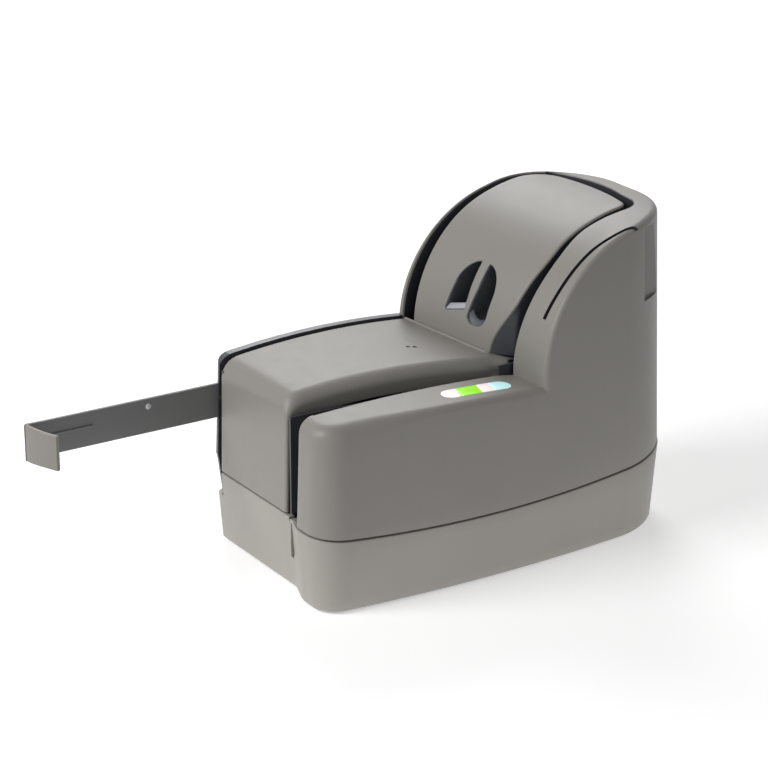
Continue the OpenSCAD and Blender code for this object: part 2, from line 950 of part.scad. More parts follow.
// Stadium along the status light, between two places on its length
module light_slot(shrink, x0 = light_x[0], x1 = light_x[3]) {
    half = light_w / 2 - shrink;
    middle = (light_x[0] + light_x[3]) / 2;
    translate([middle, light_y, 0])
        rotate([0, 0, light_turn])
            intersection() {
                union() {
                    translate([light_x[0] - middle + half + shrink, 0, 100])
                        cylinder(r = half, h = 20, $fn = 48);
                    translate([light_x[3] - middle - half - shrink, 0, 100])
                        cylinder(r = half, h = 20, $fn = 48);
                    translate([light_x[0] - middle + half + shrink, -half, 100])
                        cube([light_x[3] - light_x[0] - 2 * half - 2 * shrink, 2 * half, 20]);
                }
                translate([x0 - middle, -20, 90])
                    cube([x1 - x0, 40, 40]);
            }
}

// Slab that follows the slope of the fender top under the status light
module light_slab() {
    translate([light_x[0], -100, fender_z - 3.4])
        rotate([0, 1.6, 0])
            translate([-20, 0, 0])
                cube([100, 100, 3.1]);
}

// White parts of the status light
module status_window() {
    color([0.93, 0.94, 0.95])
        intersection() {
            difference() {
                light_slot(0.1);
                light_slot(-1, light_x[1], light_x[2]);
            }
            light_slab();
        }
}

// Green part of the status light
module status_window_green() {
    color([0.50, 0.90, 0.10])
        intersection() {
            light_slot(0.1, light_x[1] + 0.05, light_x[2] - 0.05);
            light_slab();
        }
}

// Small board with the lamps under the status light
module light_board() {
    z = 99;
    color(board_green)
        translate([(light_x[0] + light_x[3]) / 2, light_y, z])
            rotate([0, 0, light_turn]) {
                translate([-25, -6, 0])
                    cube([50, 12, 1.6]);
                for (x = [-18, -6, 5, 16])
                    translate([x - 1.5, -1.5, 1.6])
                        cube([3, 3, 2]);
                for (x = [-24, 24])
                    translate([x, 0, 1.6])
                        cylinder(r = 0.9, h = 6, $fn = 32);
            }
}

// Sheet metal floor of the mechanism
module chassis_plate() {
    color(steel)
        difference() {
            translate([0, 0, chassis_z])
                linear_extrude(chassis_t)
                    polygon(plan_points(-wall - 2));
            for (p = feed_places)
                translate([p[0], p[1], 0])
                    cylinder(r = bush_r, h = 40, $fn = 64);
            for (p = concat(post_places, standoff_places))
                translate([p[0], p[1], 0])
                    cylinder(r = 1.6, h = 40, $fn = 32);
            translate([motor_place[0], motor_place[1], 0])
                cylinder(r = 11, h = 40, $fn = 64);
        }
}

// Sheet metal top that steadies the shafts under the deck
module top_frame() {
    color(steel)
        difference() {
            translate([0, 0, frame_z])
                linear_extrude(chassis_t)
                    difference() {
                        union() {
                            u_shape(-half_gap - guide_wall - 0.5);
                            polygon(concat(
                                [for (i = [0:8])
                                    let (x = -108 + i * 15)
                                    [x, track_y(min(x, track_start_x)) + 7]],
                                [[12.5, 52.5], [-108, 52.5]]
                            ));
                        }
                        translate([cartridge_x - 12, 18])
                            square([24, 60]);
                    }
            for (p = feed_places)
                translate([p[0], p[1], 0])
                    cylinder(r = bush_r, h = 140, $fn = 64);
            for (p = post_places)
                translate([p[0], p[1], 0])
                    cylinder(r = 1.6, h = 140, $fn = 32);
        }
}

module frame_posts() {
    z = chassis_z + chassis_t;
    color(steel)
        for (p = post_places)
            translate([p[0], p[1], z])
                difference() {
                    cylinder(r = 3.5, h = frame_z - z, $fn = 6);
                    translate([0, 0, -1])
                        cylinder(r = 1.3, h = 9, $fn = 32);
                    translate([0, 0, frame_z - z - 8])
                        cylinder(r = 1.3, h = 9, $fn = 32);
                }
}

// Screws of the chassis, the posts and the top frame
module frame_screws() {
    color(steel) {
        for (p = post_places) {
            pan_screw(p, frame_z + chassis_t, -1);
            pan_screw(p, chassis_z, 1);
        }
        for (p = standoff_places)
            pan_screw(p, chassis_z + chassis_t, -1);
    }
}

// Screw with its head on the given height, its thread pointing up or down
module pan_screw(p, z, way) {
    translate([p[0], p[1], z]) {
        translate([0, 0, way > 0 ? -1.8 : 0])
            cylinder(r = 2.8, h = 1.8, $fn = 48);
        translate([0, 0, way > 0 ? 0 : -6])
            cylinder(r = 1.3, h = 6, $fn = 32);
    }
}

module main_board() {
    color(board_green)
        difference() {
            union() {
                translate([-110, -42, 5])
                    cube([34, 99, 1.6]);
                for (p = [[-106, -24], [-80, -24], [-106, 20], [-80, 20]])
                    translate([p[0], p[1], under_z + plate_t])
                        cylinder(r = 2.5, h = 5 - under_z - plate_t, $fn = 32);
            }
            for (p = screw_places)
                translate([p[0], p[1], 0])
                    cylinder(r = 5.2, h = 40, $fn = 48);
            translate([-120, 36, 0])
                cube([17, 4, 20]);
            translate([-120, -50, 0])
                cube([17, 4, 20]);
        }
}

// Chips, capacitors and connectors on the main board
module board_parts() {
    z = 6.6;
    color([0.12, 0.12, 0.13]) {
        translate([-98, -10, z])
            cube([12, 12, 1.6]);
        translate([-97, 16, z])
            cube([10, 14, 1.4]);
        translate([-84, -34, z])
            cube([5, 18, 5]);
        for (y = [-18, -26])
            translate([-98, y, z])
                cylinder(r = 3, h = 6, $fn = 48);
        for (y = [34, 40])
            translate([-86, y, z])
                cube([4, 3, 2]);
    }
}

// Room of the two sockets in the far wall, grown by e
module socket_places(e) {
    for (s = sockets)
        translate([s[0] - e, 50, 6.6 - e])
            cube([s[1] + 2 * e, 30, s[2] + 2 * e]);
}

module usb_socket() {
    s = sockets[0];
    color(steel)
        difference() {
            translate([s[0], 48, 6.6])
                cube([s[1], 15, s[2]]);
            translate([s[0] + 1.2, 52, 6.6 + 1])
                cube([s[1] - 2.4, 20, s[2] - 2]);
        }
}

module power_socket() {
    s = sockets[1];
    color([0.12, 0.12, 0.13])
        difference() {
            translate([s[0], 48, 6.6])
                cube([s[1], 15, s[2]]);
            translate([s[0] + s[1] / 2, 80, 6.6 + s[2] / 2])
                rotate([90, 0, 0])
                    cylinder(r = 3.6, h = 27, $fn = 64);
        }
}

module drive_motor() {
    z = chassis_z + chassis_t;
    color([0.20, 0.20, 0.21])
        translate([motor_place[0], motor_place[1], z])
            difference() {
                union() {
                    translate([-21, -21, 0])
                        cube([42, 42, 34]);
                    translate([0, 0, -chassis_t])
                        cylinder(r = 10.9, h = chassis_t + 1, $fn = 64);
                    translate([21, -8, 4])
                        cube([5, 16, 8]);
                }
                for (x = [-24, 18])
                    for (y = [-24, 18])
                        translate([x + 3, y + 3, -1])
                            rotate([0, 0, 45])
                                translate([-1.5, -1.5, 0])
                                    cube([3, 3, 40]);
                translate([0, 0, -3])
                    cylinder(r = 2.55, h = 24, $fn = 48);
            }
}

// Pulley on the motor shaft
module motor_pulley() {
    color(steel)
        translate([motor_place[0], motor_place[1], 0]) {
            translate([0, 0, belt_z - 1])
                cylinder(r = motor_pulley_r + 1.6, h = 0.8, $fn = 64);
            translate([0, 0, belt_z - 0.2])
                cylinder(r = motor_pulley_r, h = belt_w + 0.4, $fn = 64);
            translate([0, 0, belt_z + belt_w + 0.2])
                cylinder(r = motor_pulley_r + 1.6, h = 0.8, $fn = 64);
            translate([0, 0, 5])
                cylinder(r = 2.5, h = 30, $fn = 48);
        }
}

// Belt round the motor pulley and the five feed pulleys
module drive_belt() {
    gap = 0.15;
    thick = 1.2;
    color(rubber_black)
        translate([0, 0, belt_z])
            linear_extrude(belt_w)
                difference() {
                    belt_loop(gap + thick);
                    belt_loop(gap);
                }
}

module belt_loop(grow) {
    hull() {
        for (p = feed_places)
            translate(p)
                circle(r = pulley_r + grow, $fn = 72);
        translate(motor_place)
            circle(r = motor_pulley_r + grow, $fn = 72);
    }
}

// Shaft with its belt pulley and the two hubs of its tyres
module feed_shaft(i) {
    hub_r = feed_r - 2;
    color(steel)
        translate([feed_places[i][0], feed_places[i][1], 0]) {
            translate([0, 0, 5])
                cylinder(r = shaft_r, h = frame_z, $fn = 48);
            translate([0, 0, belt_z - 1])
                cylinder(r = pulley_r + 1.6, h = 0.8, $fn = 96);
            translate([0, 0, belt_z - 0.2])
                cylinder(r = pulley_r, h = belt_w + 0.4, $fn = 96);
            translate([0, 0, belt_z + belt_w + 0.2])
                cylinder(r = pulley_r + 1.6, h = 0.8, $fn = 96);
            for (z = tyre_levels)
                translate([0, 0, z])
                    cylinder(r = hub_r, h = tyre_h, $fn = 72);
        }
}

// Two rubber tyres of one feed shaft
module feed_tyres(i) {
    color(rubber_black)
        translate([feed_places[i][0], feed_places[i][1], 0])
            for (z = tyre_levels)
                translate([0, 0, z])
                    difference() {
                        cylinder(r = feed_r, h = tyre_h, $fn = 96);
                        translate([0, 0, -1])
                            cylinder(r = feed_r - 2, h = tyre_h + 2, $fn = 72);
                    }
}

// Flanged bushes of the feed shafts in the chassis and the top frame
module shaft_bushes() {
    color([0.72, 0.55, 0.30])
        for (p = feed_places)
            for (z = [chassis_z, frame_z])
                translate([p[0], p[1], z])
                    difference() {
                        union() {
                            cylinder(r = bush_r, h = chassis_t, $fn = 64);
                            translate([0, 0, chassis_t])
                                cylinder(r = bush_r + 0.8, h = 1, $fn = 64);
                        }
                        translate([0, 0, -1])
                            cylinder(r = shaft_r + 0.05, h = 6, $fn = 48);
                    }
}

// Free roller that presses the cheque onto a feed roller
module pinch_roller(i) {
    low = tyre_levels[0];
    high = tyre_levels[1];
    color([0.80, 0.80, 0.78])
        translate([pinch_places[i][0], pinch_places[i][1], 0])
            difference() {
                union() {
                    translate([0, 0, low - 2])
                        cylinder(r = 2.6, h = high + tyre_h + 4 - low, $fn = 48);
                    for (z = tyre_levels)
                        translate([0, 0, z])
                            cylinder(r = pinch_r, h = tyre_h, $fn = 72);
                }
                translate([0, 0, low - 3])
                    cylinder(r = 1.55, h = high + tyre_h + 6 - low, $fn = 48);
            }
}

// Leaf brackets with the axles of the two pinch rollers
module pinch_springs() {
    low = tyre_levels[0] - 3.4;
    high = tyre_levels[1] + tyre_h + 2.4;
    back = 8;
    color(steel)
        for (p = pinch_places)
            translate([p[0], p[1], 0]) {
                translate([0, 0, low])
                    cylinder(r = 1.5, h = high + 1 - low, $fn = 48);
                for (z = [low, high])
                    translate([-4, -back, z])
                        cube([8, back + pinch_r + nip - half_gap - guide_wall, 1]);
                translate([-4, -back - 0.8, low])
                    cube([8, 0.8, high + 1 - low]);
            }
}

// Bowed leaves that press the cheque onto the three far feed rollers
module pressure_springs() {
    color(steel) {
        pressure_leaf(feed_places[3][0], far_y, 0);
        pressure_leaf(feed_places[4][0], far_y, 0);
        pressure_leaf(turn_x + turn_r, turn_y, -90);
    }
}

module pressure_leaf(x, y, turn) {
    half = 9;
    sink = turn == 0 ? 0.05 : 0.9;
    for (z = tyre_levels)
        translate([x, y, z])
            rotate([0, 0, turn])
                linear_extrude(tyre_h)
                    polygon([
                        [-half, half_gap - sink], [-4, 0.3], [4, 0.3], [half, half_gap - sink],
                        [half - 1, half_gap + 0.02 - sink], [3.6, 0.75], [-3.6, 0.75],
                        [-half + 1, half_gap + 0.02 - sink]
                    ]);
}

// Block that magnetises the ink line before it is read
module magnetiser() {
    color([0.25, 0.25, 0.27])
        translate([magnet_x - 4.5, near_y + half_gap + 0.1, magnet_z[0] + 0.3])
            cube([9, 10, magnet_z[1] - magnet_z[0] - 0.6]);
}

// Magnetic head that reads the ink line
module read_head() {
    depth = 11;
    color(steel)
        difference() {
            union() {
                translate([head_x - 5, near_y + half_gap + 1.2, magnet_z[0] + 0.3])
                    cube([10, depth, magnet_z[1] - magnet_z[0] - 0.6]);
                translate([head_x, near_y + half_gap + 5, magnet_z[0] + 0.3])
                    cylinder(r = 5, h = magnet_z[1] - magnet_z[0] - 0.6, $fn = 64);
            }
            translate([head_x - 0.2, near_y, magnet_z[0]])
                cube([0.4, half_gap + 1, 30]);
        }
}

// Tall line sensor that images the front of the cheque, outside the track
module front_image_sensor() {
    color([0.15, 0.15, 0.16])
        difference() {
            translate([front_sensor_x - 8, near_y - half_gap - guide_wall - 12, track_floor_z + 0.5])
                cube([16, 12, 93]);
            translate([front_sensor_x - 4.4, near_y - half_gap - guide_wall - 1, 22.2])
                cube([8.8, 3, 89.6]);
        }
}

// Tall line sensor that images the back of the cheque, inside the track
module rear_image_sensor() {
    color([0.15, 0.15, 0.16])
        difference() {
            translate([rear_sensor_x - 8, far_y - half_gap - guide_wall - 12, track_floor_z + 0.5])
                cube([16, 12, 82]);
            translate([rear_sensor_x - 4.4, far_y - half_gap - guide_wall - 2, 22.2])
                cube([8.8, 3, 79.6]);
        }
}

module sensor_glasses() {
    color([0.75, 0.85, 0.88, 0.5]) {
        translate([front_sensor_x - 4.3, near_y - half_gap - guide_wall - 0.9, 22.3])
            cube([8.6, guide_wall + 0.8, 89.4]);
        translate([rear_sensor_x - 4.3, far_y - half_gap - guide_wall + 0.1, 22.3])
            cube([8.6, guide_wall - 0.2, 79.4]);
        translate([rear_sensor_x - 4.3, far_y - half_gap - guide_wall - 0.9, 22.3])
            cube([8.6, 1.1, 79.4]);
    }
}

// Ink cartridge that marks the back of the cheque
module ink_cartridge() {
    y1 = far_y - half_gap - guide_wall - 0.4;
    color([0.14, 0.14, 0.15])
        union() {
            translate([cartridge_x - 9, 22, 52])
                cube([18, y1 - 22, 46]);
            translate([cartridge_x - 4.5, y1 - 1, 60])
                cube([9, 2.4, 20]);
            translate([cartridge_x - 6, 20.5, 88])
                cube([12, 1.6, 7]);
        }
}

module cartridge_cradle() {
    z = chassis_z + chassis_t;
    color([0.55, 0.55, 0.54])
        union() {
            translate([cartridge_x - 11, 24, 49.5])
                cube([22, 28.4, 2.3]);
            for (x = [cartridge_x - 11, cartridge_x + 9.2])
                translate([x, 24, 49.5])
                    cube([1.8, 28.4, 30]);
            translate([cartridge_x - 5, 30, z])
                cube([10, 3, 49.6 - z]);
            translate([cartridge_x - 9, 27, z])
                cube([18, 9, 2]);
        }
}

// Small optical sensors that see the cheque pass
module document_sensors() {
    color([0.10, 0.10, 0.11])
        for (p = sensor_places) {
            way = p[1] > 0 ? -1 : 1;
            translate([p[0], p[1], p[2]]) {
                translate([-2.5, way > 0 ? 1.2 : -5.2, -4])
                    cube([5, 4, 8]);
                rotate([way > 0 ? 90 : -90, 0, 0])
                    translate([0, 0, -1.3])
                        cylinder(r = 1.3, h = 1.9, $fn = 32);
            }
        }
}

base_housing();
bottom_plate();
rubber_feet();
bottom_screws();
outer_shell();
deck_cover();
tower_cover();
finger_pockets();
cover_hinge_rod();
cover_catch_spring();
hinge_bracket();
inner_guide();
outer_guide();
track_floor();
exit_guide();
exit_arm();
arm_rivet();
arm_detent_spring();
status_window();
status_window_green();
light_board();
chassis_plate();
top_frame();
frame_posts();
frame_screws();
main_board();
board_parts();
usb_socket();
power_socket();
drive_motor();
motor_pulley();
drive_belt();
feed_shaft(0);  // feed_shaft_1
feed_shaft(1);  // feed_shaft_2
feed_shaft(2);  // feed_shaft_3
feed_shaft(3);  // feed_shaft_4
feed_shaft(4);  // feed_shaft_5
feed_tyres(0);  // feed_tyres_1
feed_tyres(1);  // feed_tyres_2
feed_tyres(2);  // feed_tyres_3
feed_tyres(3);  // feed_tyres_4
feed_tyres(4);  // feed_tyres_5
shaft_bushes();
pinch_roller(0);  // pinch_roller_1
pinch_roller(1);  // pinch_roller_2
pinch_springs();
pressure_springs();
magnetiser();
read_head();
front_image_sensor();
rear_image_sensor();
sensor_glasses();
ink_cartridge();
cartridge_cradle();
document_sensors();
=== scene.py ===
import bisect
import json
import math

import bpy
import bmesh
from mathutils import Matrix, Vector


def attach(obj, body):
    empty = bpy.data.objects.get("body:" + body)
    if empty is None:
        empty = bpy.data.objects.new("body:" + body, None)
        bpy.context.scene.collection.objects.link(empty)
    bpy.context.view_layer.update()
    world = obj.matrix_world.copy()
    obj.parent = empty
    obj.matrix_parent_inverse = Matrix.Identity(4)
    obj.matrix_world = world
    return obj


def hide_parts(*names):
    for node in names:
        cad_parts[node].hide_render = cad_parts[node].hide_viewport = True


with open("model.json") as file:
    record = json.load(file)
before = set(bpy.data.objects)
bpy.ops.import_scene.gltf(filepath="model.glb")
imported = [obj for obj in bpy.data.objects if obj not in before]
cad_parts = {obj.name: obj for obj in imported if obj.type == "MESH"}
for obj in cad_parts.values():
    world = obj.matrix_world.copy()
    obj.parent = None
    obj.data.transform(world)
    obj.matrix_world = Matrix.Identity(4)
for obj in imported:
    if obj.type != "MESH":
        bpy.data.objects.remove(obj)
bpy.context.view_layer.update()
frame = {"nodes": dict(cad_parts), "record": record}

MM = 0.001

scene = bpy.context.scene


def add_object(name, data):
    obj = bpy.data.objects.new(name, data)
    scene.collection.objects.link(obj)
    return obj


def look_along(obj, direction):
    obj.rotation_mode = "QUATERNION"
    obj.rotation_quaternion = direction.to_track_quat("-Z", "Y")


# Camera
scene.view_settings.view_transform = "Standard"
scene.view_settings.look = "None"

camera_data = bpy.data.cameras.new("camera")
camera_data.lens = 121.97
camera_data.sensor_width = 36.0
camera_data.clip_start = 0.05
camera_data.clip_end = 20.0
camera = add_object("camera", camera_data)
scene.camera = camera
turn, lift, distance = math.radians(32.77), math.radians(20.48), 1.4778
back = Vector((-math.sin(turn) * math.cos(lift), -math.cos(turn) * math.cos(lift), math.sin(lift)))
target = Vector((-41.16, 0.0, 100.74)) * MM
camera.location = target + back * distance
look_along(camera, -back)

# Sizes of the casing, in millimetres
WALL = 2.5
SEAM_Z, SEAM_R, SEAM_X, SEAM_GAP = 41.2, 1270.0, -16.0, 1.1
DRAFT = math.tan(math.radians(2.0))
FLARE = 2.8
LEFT_X, LEFT_R, FAR_Y, RIGHT_X, RIGHT_R, CORNER_Y = -115.0, 4.0, 62.3, 75.0, 55.3, -11.7
STEP_Y, STEP_LONG, STEP_DEEP = -20.0, 24.0, 6.3
FUNNEL_Y = -40.0

# Tower: a round front about a turned axis, a flatter crown, and a level top
ARC_R, ARC_Z, TOWER_Z = 77.5, 111.5, 192.0
AXIS = (97.0, -55.0)
TURN = math.radians(5.2)
COS_T, SIN_T = math.cos(TURN), math.sin(TURN)
CROWN_TURN = math.radians(20.0)
CROWN_R = (TOWER_Z - ARC_Z - ARC_R * math.cos(CROWN_TURN)) / (1 - math.cos(CROWN_TURN))
CROWN_Q = (CROWN_R - ARC_R) * math.sin(CROWN_TURN)
CROWN_LENGTH = CROWN_R * CROWN_TURN

# Fender, deck and track
FENDER_Z, FENDER_X, FENDER_CURVE = 111.0, -62.0, 2000.0
DECK_Z, DECK_X, DECK_R = 117.9, -44.0, 520.0
MOUTH_X, MOUTH_Y, NEAR_Y, TRACK_X, HALF_GAP = -117.0, -23.5, -37.5, 10.0, 1.75


def seam(x):
    return SEAM_Z + SEAM_R - math.sqrt(SEAM_R ** 2 - (x - SEAM_X) ** 2)


def growth(z):
    """How far the drafted wall of the shell stands outside the casing's outline at height z."""
    return FLARE - (z - SEAM_Z) * DRAFT


def fender_top(x):
    return FENDER_Z - (x - FENDER_X) ** 2 / FENDER_CURVE


def fender_normal(x):
    return Vector((2 * (x - FENDER_X) / FENDER_CURVE, 0, 1)).normalized()


def deck_top(x):
    return DECK_Z - DECK_R + math.sqrt(DECK_R ** 2 - (x - DECK_X) ** 2)


def track_y(x):
    """Middle of the track's near run, which curves in from the mouth."""
    x = min(max(x, MOUTH_X), TRACK_X)
    return MOUTH_Y + (NEAR_Y - MOUTH_Y) * ((x - MOUTH_X) / (TRACK_X - MOUTH_X)) ** 1.7


def across(x, y):
    """Distance to the right of the tower's round axis, and along that axis."""
    dx, dy = x - AXIS[0], y - AXIS[1]
    return dx * COS_T + dy * SIN_T, -dx * SIN_T + dy * COS_T


def plan(q, w):
    return AXIS[0] + q * COS_T - w * SIN_T, AXIS[1] + q * SIN_T + w * COS_T


def lean(s):
    """Slope angle of the tower's surface at running length s, which is 0 where the top turns level."""
    if s >= 0:
        return 0.0
    if s > -CROWN_LENGTH:
        return -s / CROWN_R
    return CROWN_TURN - (s + CROWN_LENGTH) / ARC_R


def length_at(a):
    """Running length where the surface leans by a."""
    if a <= CROWN_TURN:
        return -CROWN_R * a
    return -CROWN_LENGTH - ARC_R * (a - CROWN_TURN)


def profile(s, rise=0.0):
    """Place across the axis and height of the tower's surface at running length s."""
    a = lean(s)
    if s >= 0:
        return CROWN_Q + s, TOWER_Z + rise
    if a < CROWN_TURN:
        r = CROWN_R + rise
        return CROWN_Q - r * math.sin(a), TOWER_Z - CROWN_R + r * math.cos(a)
    return -(ARC_R + rise) * math.sin(a), ARC_Z + (ARC_R + rise) * math.cos(a)


def tower_point(s, w, rise=0.0):
    """Point on the tower's rolled top, at running length s and at w along the axis."""
    q, z = profile(s, rise)
    x, y = plan(q, w)
    return Vector((x, y, z))


def leaning(a):
    """Unit direction that leans by a from upright, to the left across the tower's axis."""
    return Vector((-math.sin(a) * COS_T, -math.sin(a) * SIN_T, math.cos(a)))


def tower_normal(s):
    return leaning(lean(s))


def rolled(x, y):
    """Point of a plan line on the tower's top: running length s and place w along the axis."""
    q, w = across(x, y)
    if q >= CROWN_Q:
        return q - CROWN_Q, w
    if q > -ARC_R * math.sin(CROWN_TURN):
        return length_at(math.asin((CROWN_Q - q) / CROWN_R)), w
    return length_at(math.asin(min(-q / ARC_R, 1.0))), w


def arc(cx, cy, r, a0, a1, n):
    """Points of an arc between two angles in degrees."""
    angles = [math.radians(a0 + (a1 - a0) * i / n) for i in range(n + 1)]
    return [(cx + r * math.cos(a), cy + r * math.sin(a)) for a in angles]


def ring_of(x, y, r, n):
    """Points of a whole circle."""
    return arc(x, y, r, 0, 360, n)[:-1]


def arc_rows(cx, cy, r, a0, a1, n):
    """Points of an arc with their outward normals."""
    return [(cx + r * nx, cy + r * ny, nx, ny) for nx, ny in arc(0, 0, 1, a0, a1, n)]


def straight_rows(start, end, n, normal):
    """Points of a straight side between its ends, with its outward normal."""
    (x0, y0), (x1, y1) = start, end
    return [(x0 + (x1 - x0) * i / n, y0 + (y1 - y0) * i / n, *normal) for i in range(1, n)]


def ease(t):
    """0 to 1 with a soft start and end."""
    t = min(max(t, 0.0), 1.0)
    return t * t * (3 - 2 * t)


def smooth_line(points, step):
    """Catmull-Rom curve through plan points, as a dense list."""
    padded = [points[0], *points, points[-1]]
    out = []
    for four in zip(padded, padded[1:], padded[2:], padded[3:]):
        n = max(2, int(math.dist(four[1], four[2]) / step))
        for t in (k / n for k in range(n)):
            out.append(tuple(0.5 * (2 * b + (c - a) * t + (2 * a - 5 * b + 4 * c - d) * t * t
                                    + (3 * b - a - 3 * c + d) * t ** 3)
                             for a, b, c, d in zip(*four)))
    return out + [tuple(points[-1])]


class Line:
    """A dense line of rows that is read by its running length."""

    def __init__(self, rows):
        self.rows = rows
        self.length = [0.0]
        for a, b in zip(rows, rows[1:]):
            self.length.append(self.length[-1] + math.dist(a[:2], b[:2]))
        self.total = self.length[-1]

    def at(self, u):
        u = min(max(u, 0.0), self.total)
        k = min(bisect.bisect_right(self.length, u), len(self.length) - 1)
        t = (u - self.length[k - 1]) / (self.length[k] - self.length[k - 1] or 1.0)
        return [a + (b - a) * t for a, b in zip(self.rows[k - 1], self.rows[k])]

    def find(self, f, lo, hi):
        """Length between lo and hi where f changes sign."""
        rising = f(hi) > f(lo)
        for _ in range(40):
            mid = (lo + hi) / 2
            if (f(mid) > 0) == rising:
                hi = mid
            else:
                lo = mid
        return (lo + hi) / 2


def evenly(points, step):
    """Points at even steps round a closed outline."""
    line = Line([tuple(p) for p in points] + [tuple(points[0])])
    count = int(line.total / step)
    return [line.at(line.total * k / count) for k in range(count)]


def beside(points, k, reach=1, closed=False):
    """Unit direction to the left of a line at its point k."""
    if closed:
        a, b = points[k - reach], points[(k + reach) % len(points)]
    else:
        a, b = points[max(k - reach, 0)], points[min(k + reach, len(points) - 1)]
    tx, ty = b[0] - a[0], b[1] - a[1]
    size = math.hypot(tx, ty) or 1.0
    return -ty / size, tx / size


def quarter(n, first=0):
    """Angles of a quarter turn in n steps."""
    return [math.radians(90 * k / n) for k in range(first, n + 1)]


def casing_outline(whole):
    """Rows of x, y and outward normal round the casing, counter-clockwise from the step at the left:
    whole, or only the near side, the right end and the tower's far side for the shell."""
    first_x = LEFT_X - STEP_DEEP * ease((STEP_Y - FUNNEL_Y) / STEP_LONG)
    rows = [] if whole else [(first_x, FUNNEL_Y, -1, 0)]
    for i in range(33):
        t = i / 32
        y = STEP_Y - STEP_LONG * t
        if whole or y <= FUNNEL_Y:
            slope = STEP_DEEP * 6 * t * (1 - t) / STEP_LONG
            k = math.hypot(1, slope)
            rows.append((LEFT_X - STEP_DEEP * ease(t), y, -1 / k, slope / k))
    rows += arc_rows(-106, -50.3, 15.3, 180, 264, 60)
    rows += arc_rows(-8, 829, 900, 263.66, 275.63, 380)
    rows += arc_rows(RIGHT_X, CORNER_Y, RIGHT_R, -84, 0, 160)
    rows += arc_rows(RIGHT_X, FAR_Y - RIGHT_R, RIGHT_R, 0, 90, 170)
    if whole:
        corner = (LEFT_X + LEFT_R, FAR_Y - LEFT_R)
        rows += straight_rows((RIGHT_X, FAR_Y), (corner[0], FAR_Y), 120, (0, 1))
        rows += arc_rows(*corner, LEFT_R, 90, 180, 20)
        rows += straight_rows((LEFT_X, corner[1]), (LEFT_X, STEP_Y), 60, (-1, 0))
    else:
        end = (9.5, FAR_Y)
        rows += straight_rows((RIGHT_X, FAR_Y), end, 80, (0, 1)) + [(*end, 0, 1)]
    return rows


# Mesh helpers
def raw_mesh(name, verts, faces, materials, marks, join=False):
    """Mesh from millimetre points, turned outwards. marks gives each face's material number."""
    mesh = bpy.data.meshes.new(name)
    mesh.from_pydata([Vector(v) * MM for v in verts], [], faces)
    for material in materials:
        mesh.materials.append(material)
    for face, mark in zip(mesh.polygons, marks):
        face.material_index = mark
    bm = bmesh.new()
    bm.from_mesh(mesh)
    if join:
        bmesh.ops.remove_doubles(bm, verts=bm.verts, dist=2e-6)
        bmesh.ops.dissolve_degenerate(bm, edges=bm.edges, dist=1e-6)
    bmesh.ops.recalc_face_normals(bm, faces=bm.faces)
    bm.to_mesh(mesh)
    bm.free()
    return mesh


def shade(mesh, sharp=32.0):
    mesh.shade_smooth()
    mesh.set_sharp_from_angle(angle=math.radians(sharp))


def make_object(name, verts, faces, body, materials, sharp=32.0, marks=()):
    mesh = raw_mesh(name, verts, faces, materials, marks, join=True)
    shade(mesh, sharp)
    obj = add_object(name, mesh)
    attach(obj, body)
    return obj


def skin(rings, closed_rings=True, closed_along=False, caps=False):
    """Faces between rings of the same number of points."""
    n = len(rings[0])
    verts = [p for ring in rings for p in ring]
    faces = []
    count = len(rings)
    for k in range(count if closed_along else count - 1):
        a, b = k * n, ((k + 1) % count) * n
        for i in range(n if closed_rings else n - 1):
            j = (i + 1) % n
            faces.append((a + i, a + j, b + j, b + i))
    if caps:
        faces.append(tuple(range(n)))
        faces.append(tuple((count - 1) * n + i for i in reversed(range(n))))
    return verts, faces


def joined(parts):
    """Several forms in one: points, faces and material numbers, from those of each part."""
    verts, faces, marks = [], [], []
    for part_verts, part_faces, mark in parts:
        faces += [tuple(i + len(verts) for i in face) for face in part_faces]
        marks += [mark] * len(part_faces)
        verts += part_verts
    return verts, faces, marks


def turn_between(m, n, t):
    """Unit direction a share t of the way from m to n."""
    angle = m.angle(n)
    if angle < 1e-5:
        return m.copy()
    return (m * math.sin((1 - t) * angle) + n * math.sin(t * angle)) / math.sin(angle)


def thicken(piece, wall, index, middle):
    """Gives an open skin a wall inside. The face of that number is made to look away from the middle."""
    modifier = piece.modifiers.new("wall", "SOLIDIFY")
    modifier.thickness = wall * MM
    modifier.offset = -1.0
    face = piece.data.polygons[index]
    if face.normal.dot(face.center - Vector(middle) * MM) < 0:
        piece.data.flip_normals()


def cut_away(obj, name, verts, faces, mark=0):
    """Takes a closed form out of a piece for good. The faces it leaves take the material of number mark."""
    mesh = raw_mesh(name, verts, faces, list(obj.data.materials)[:mark + 1], [mark] * len(faces))
    tool = add_object(name, mesh)
    modifier = obj.modifiers.new(name, "BOOLEAN")
    modifier.operation = "DIFFERENCE"
    modifier.solver = "EXACT"
    modifier.object = tool
    bpy.context.view_layer.update()
    settled = bpy.data.meshes.new_from_object(obj.evaluated_get(bpy.context.evaluated_depsgraph_get()))
    obj.modifiers.clear()
    obj.data = settled
    bpy.data.objects.remove(tool)
    bpy.data.meshes.remove(mesh)
    shade(settled)


def prism(outline, low, high):
    """Closed form over a plan outline, between two heights."""
    return skin([[(x, y, z) for x, y in outline] for z in (low, high)], caps=True)


def block(x0, x1, y0, y1, z0, z1):
    return prism([(x0, y0), (x1, y0), (x1, y1), (x0, y1)], z0, z1)


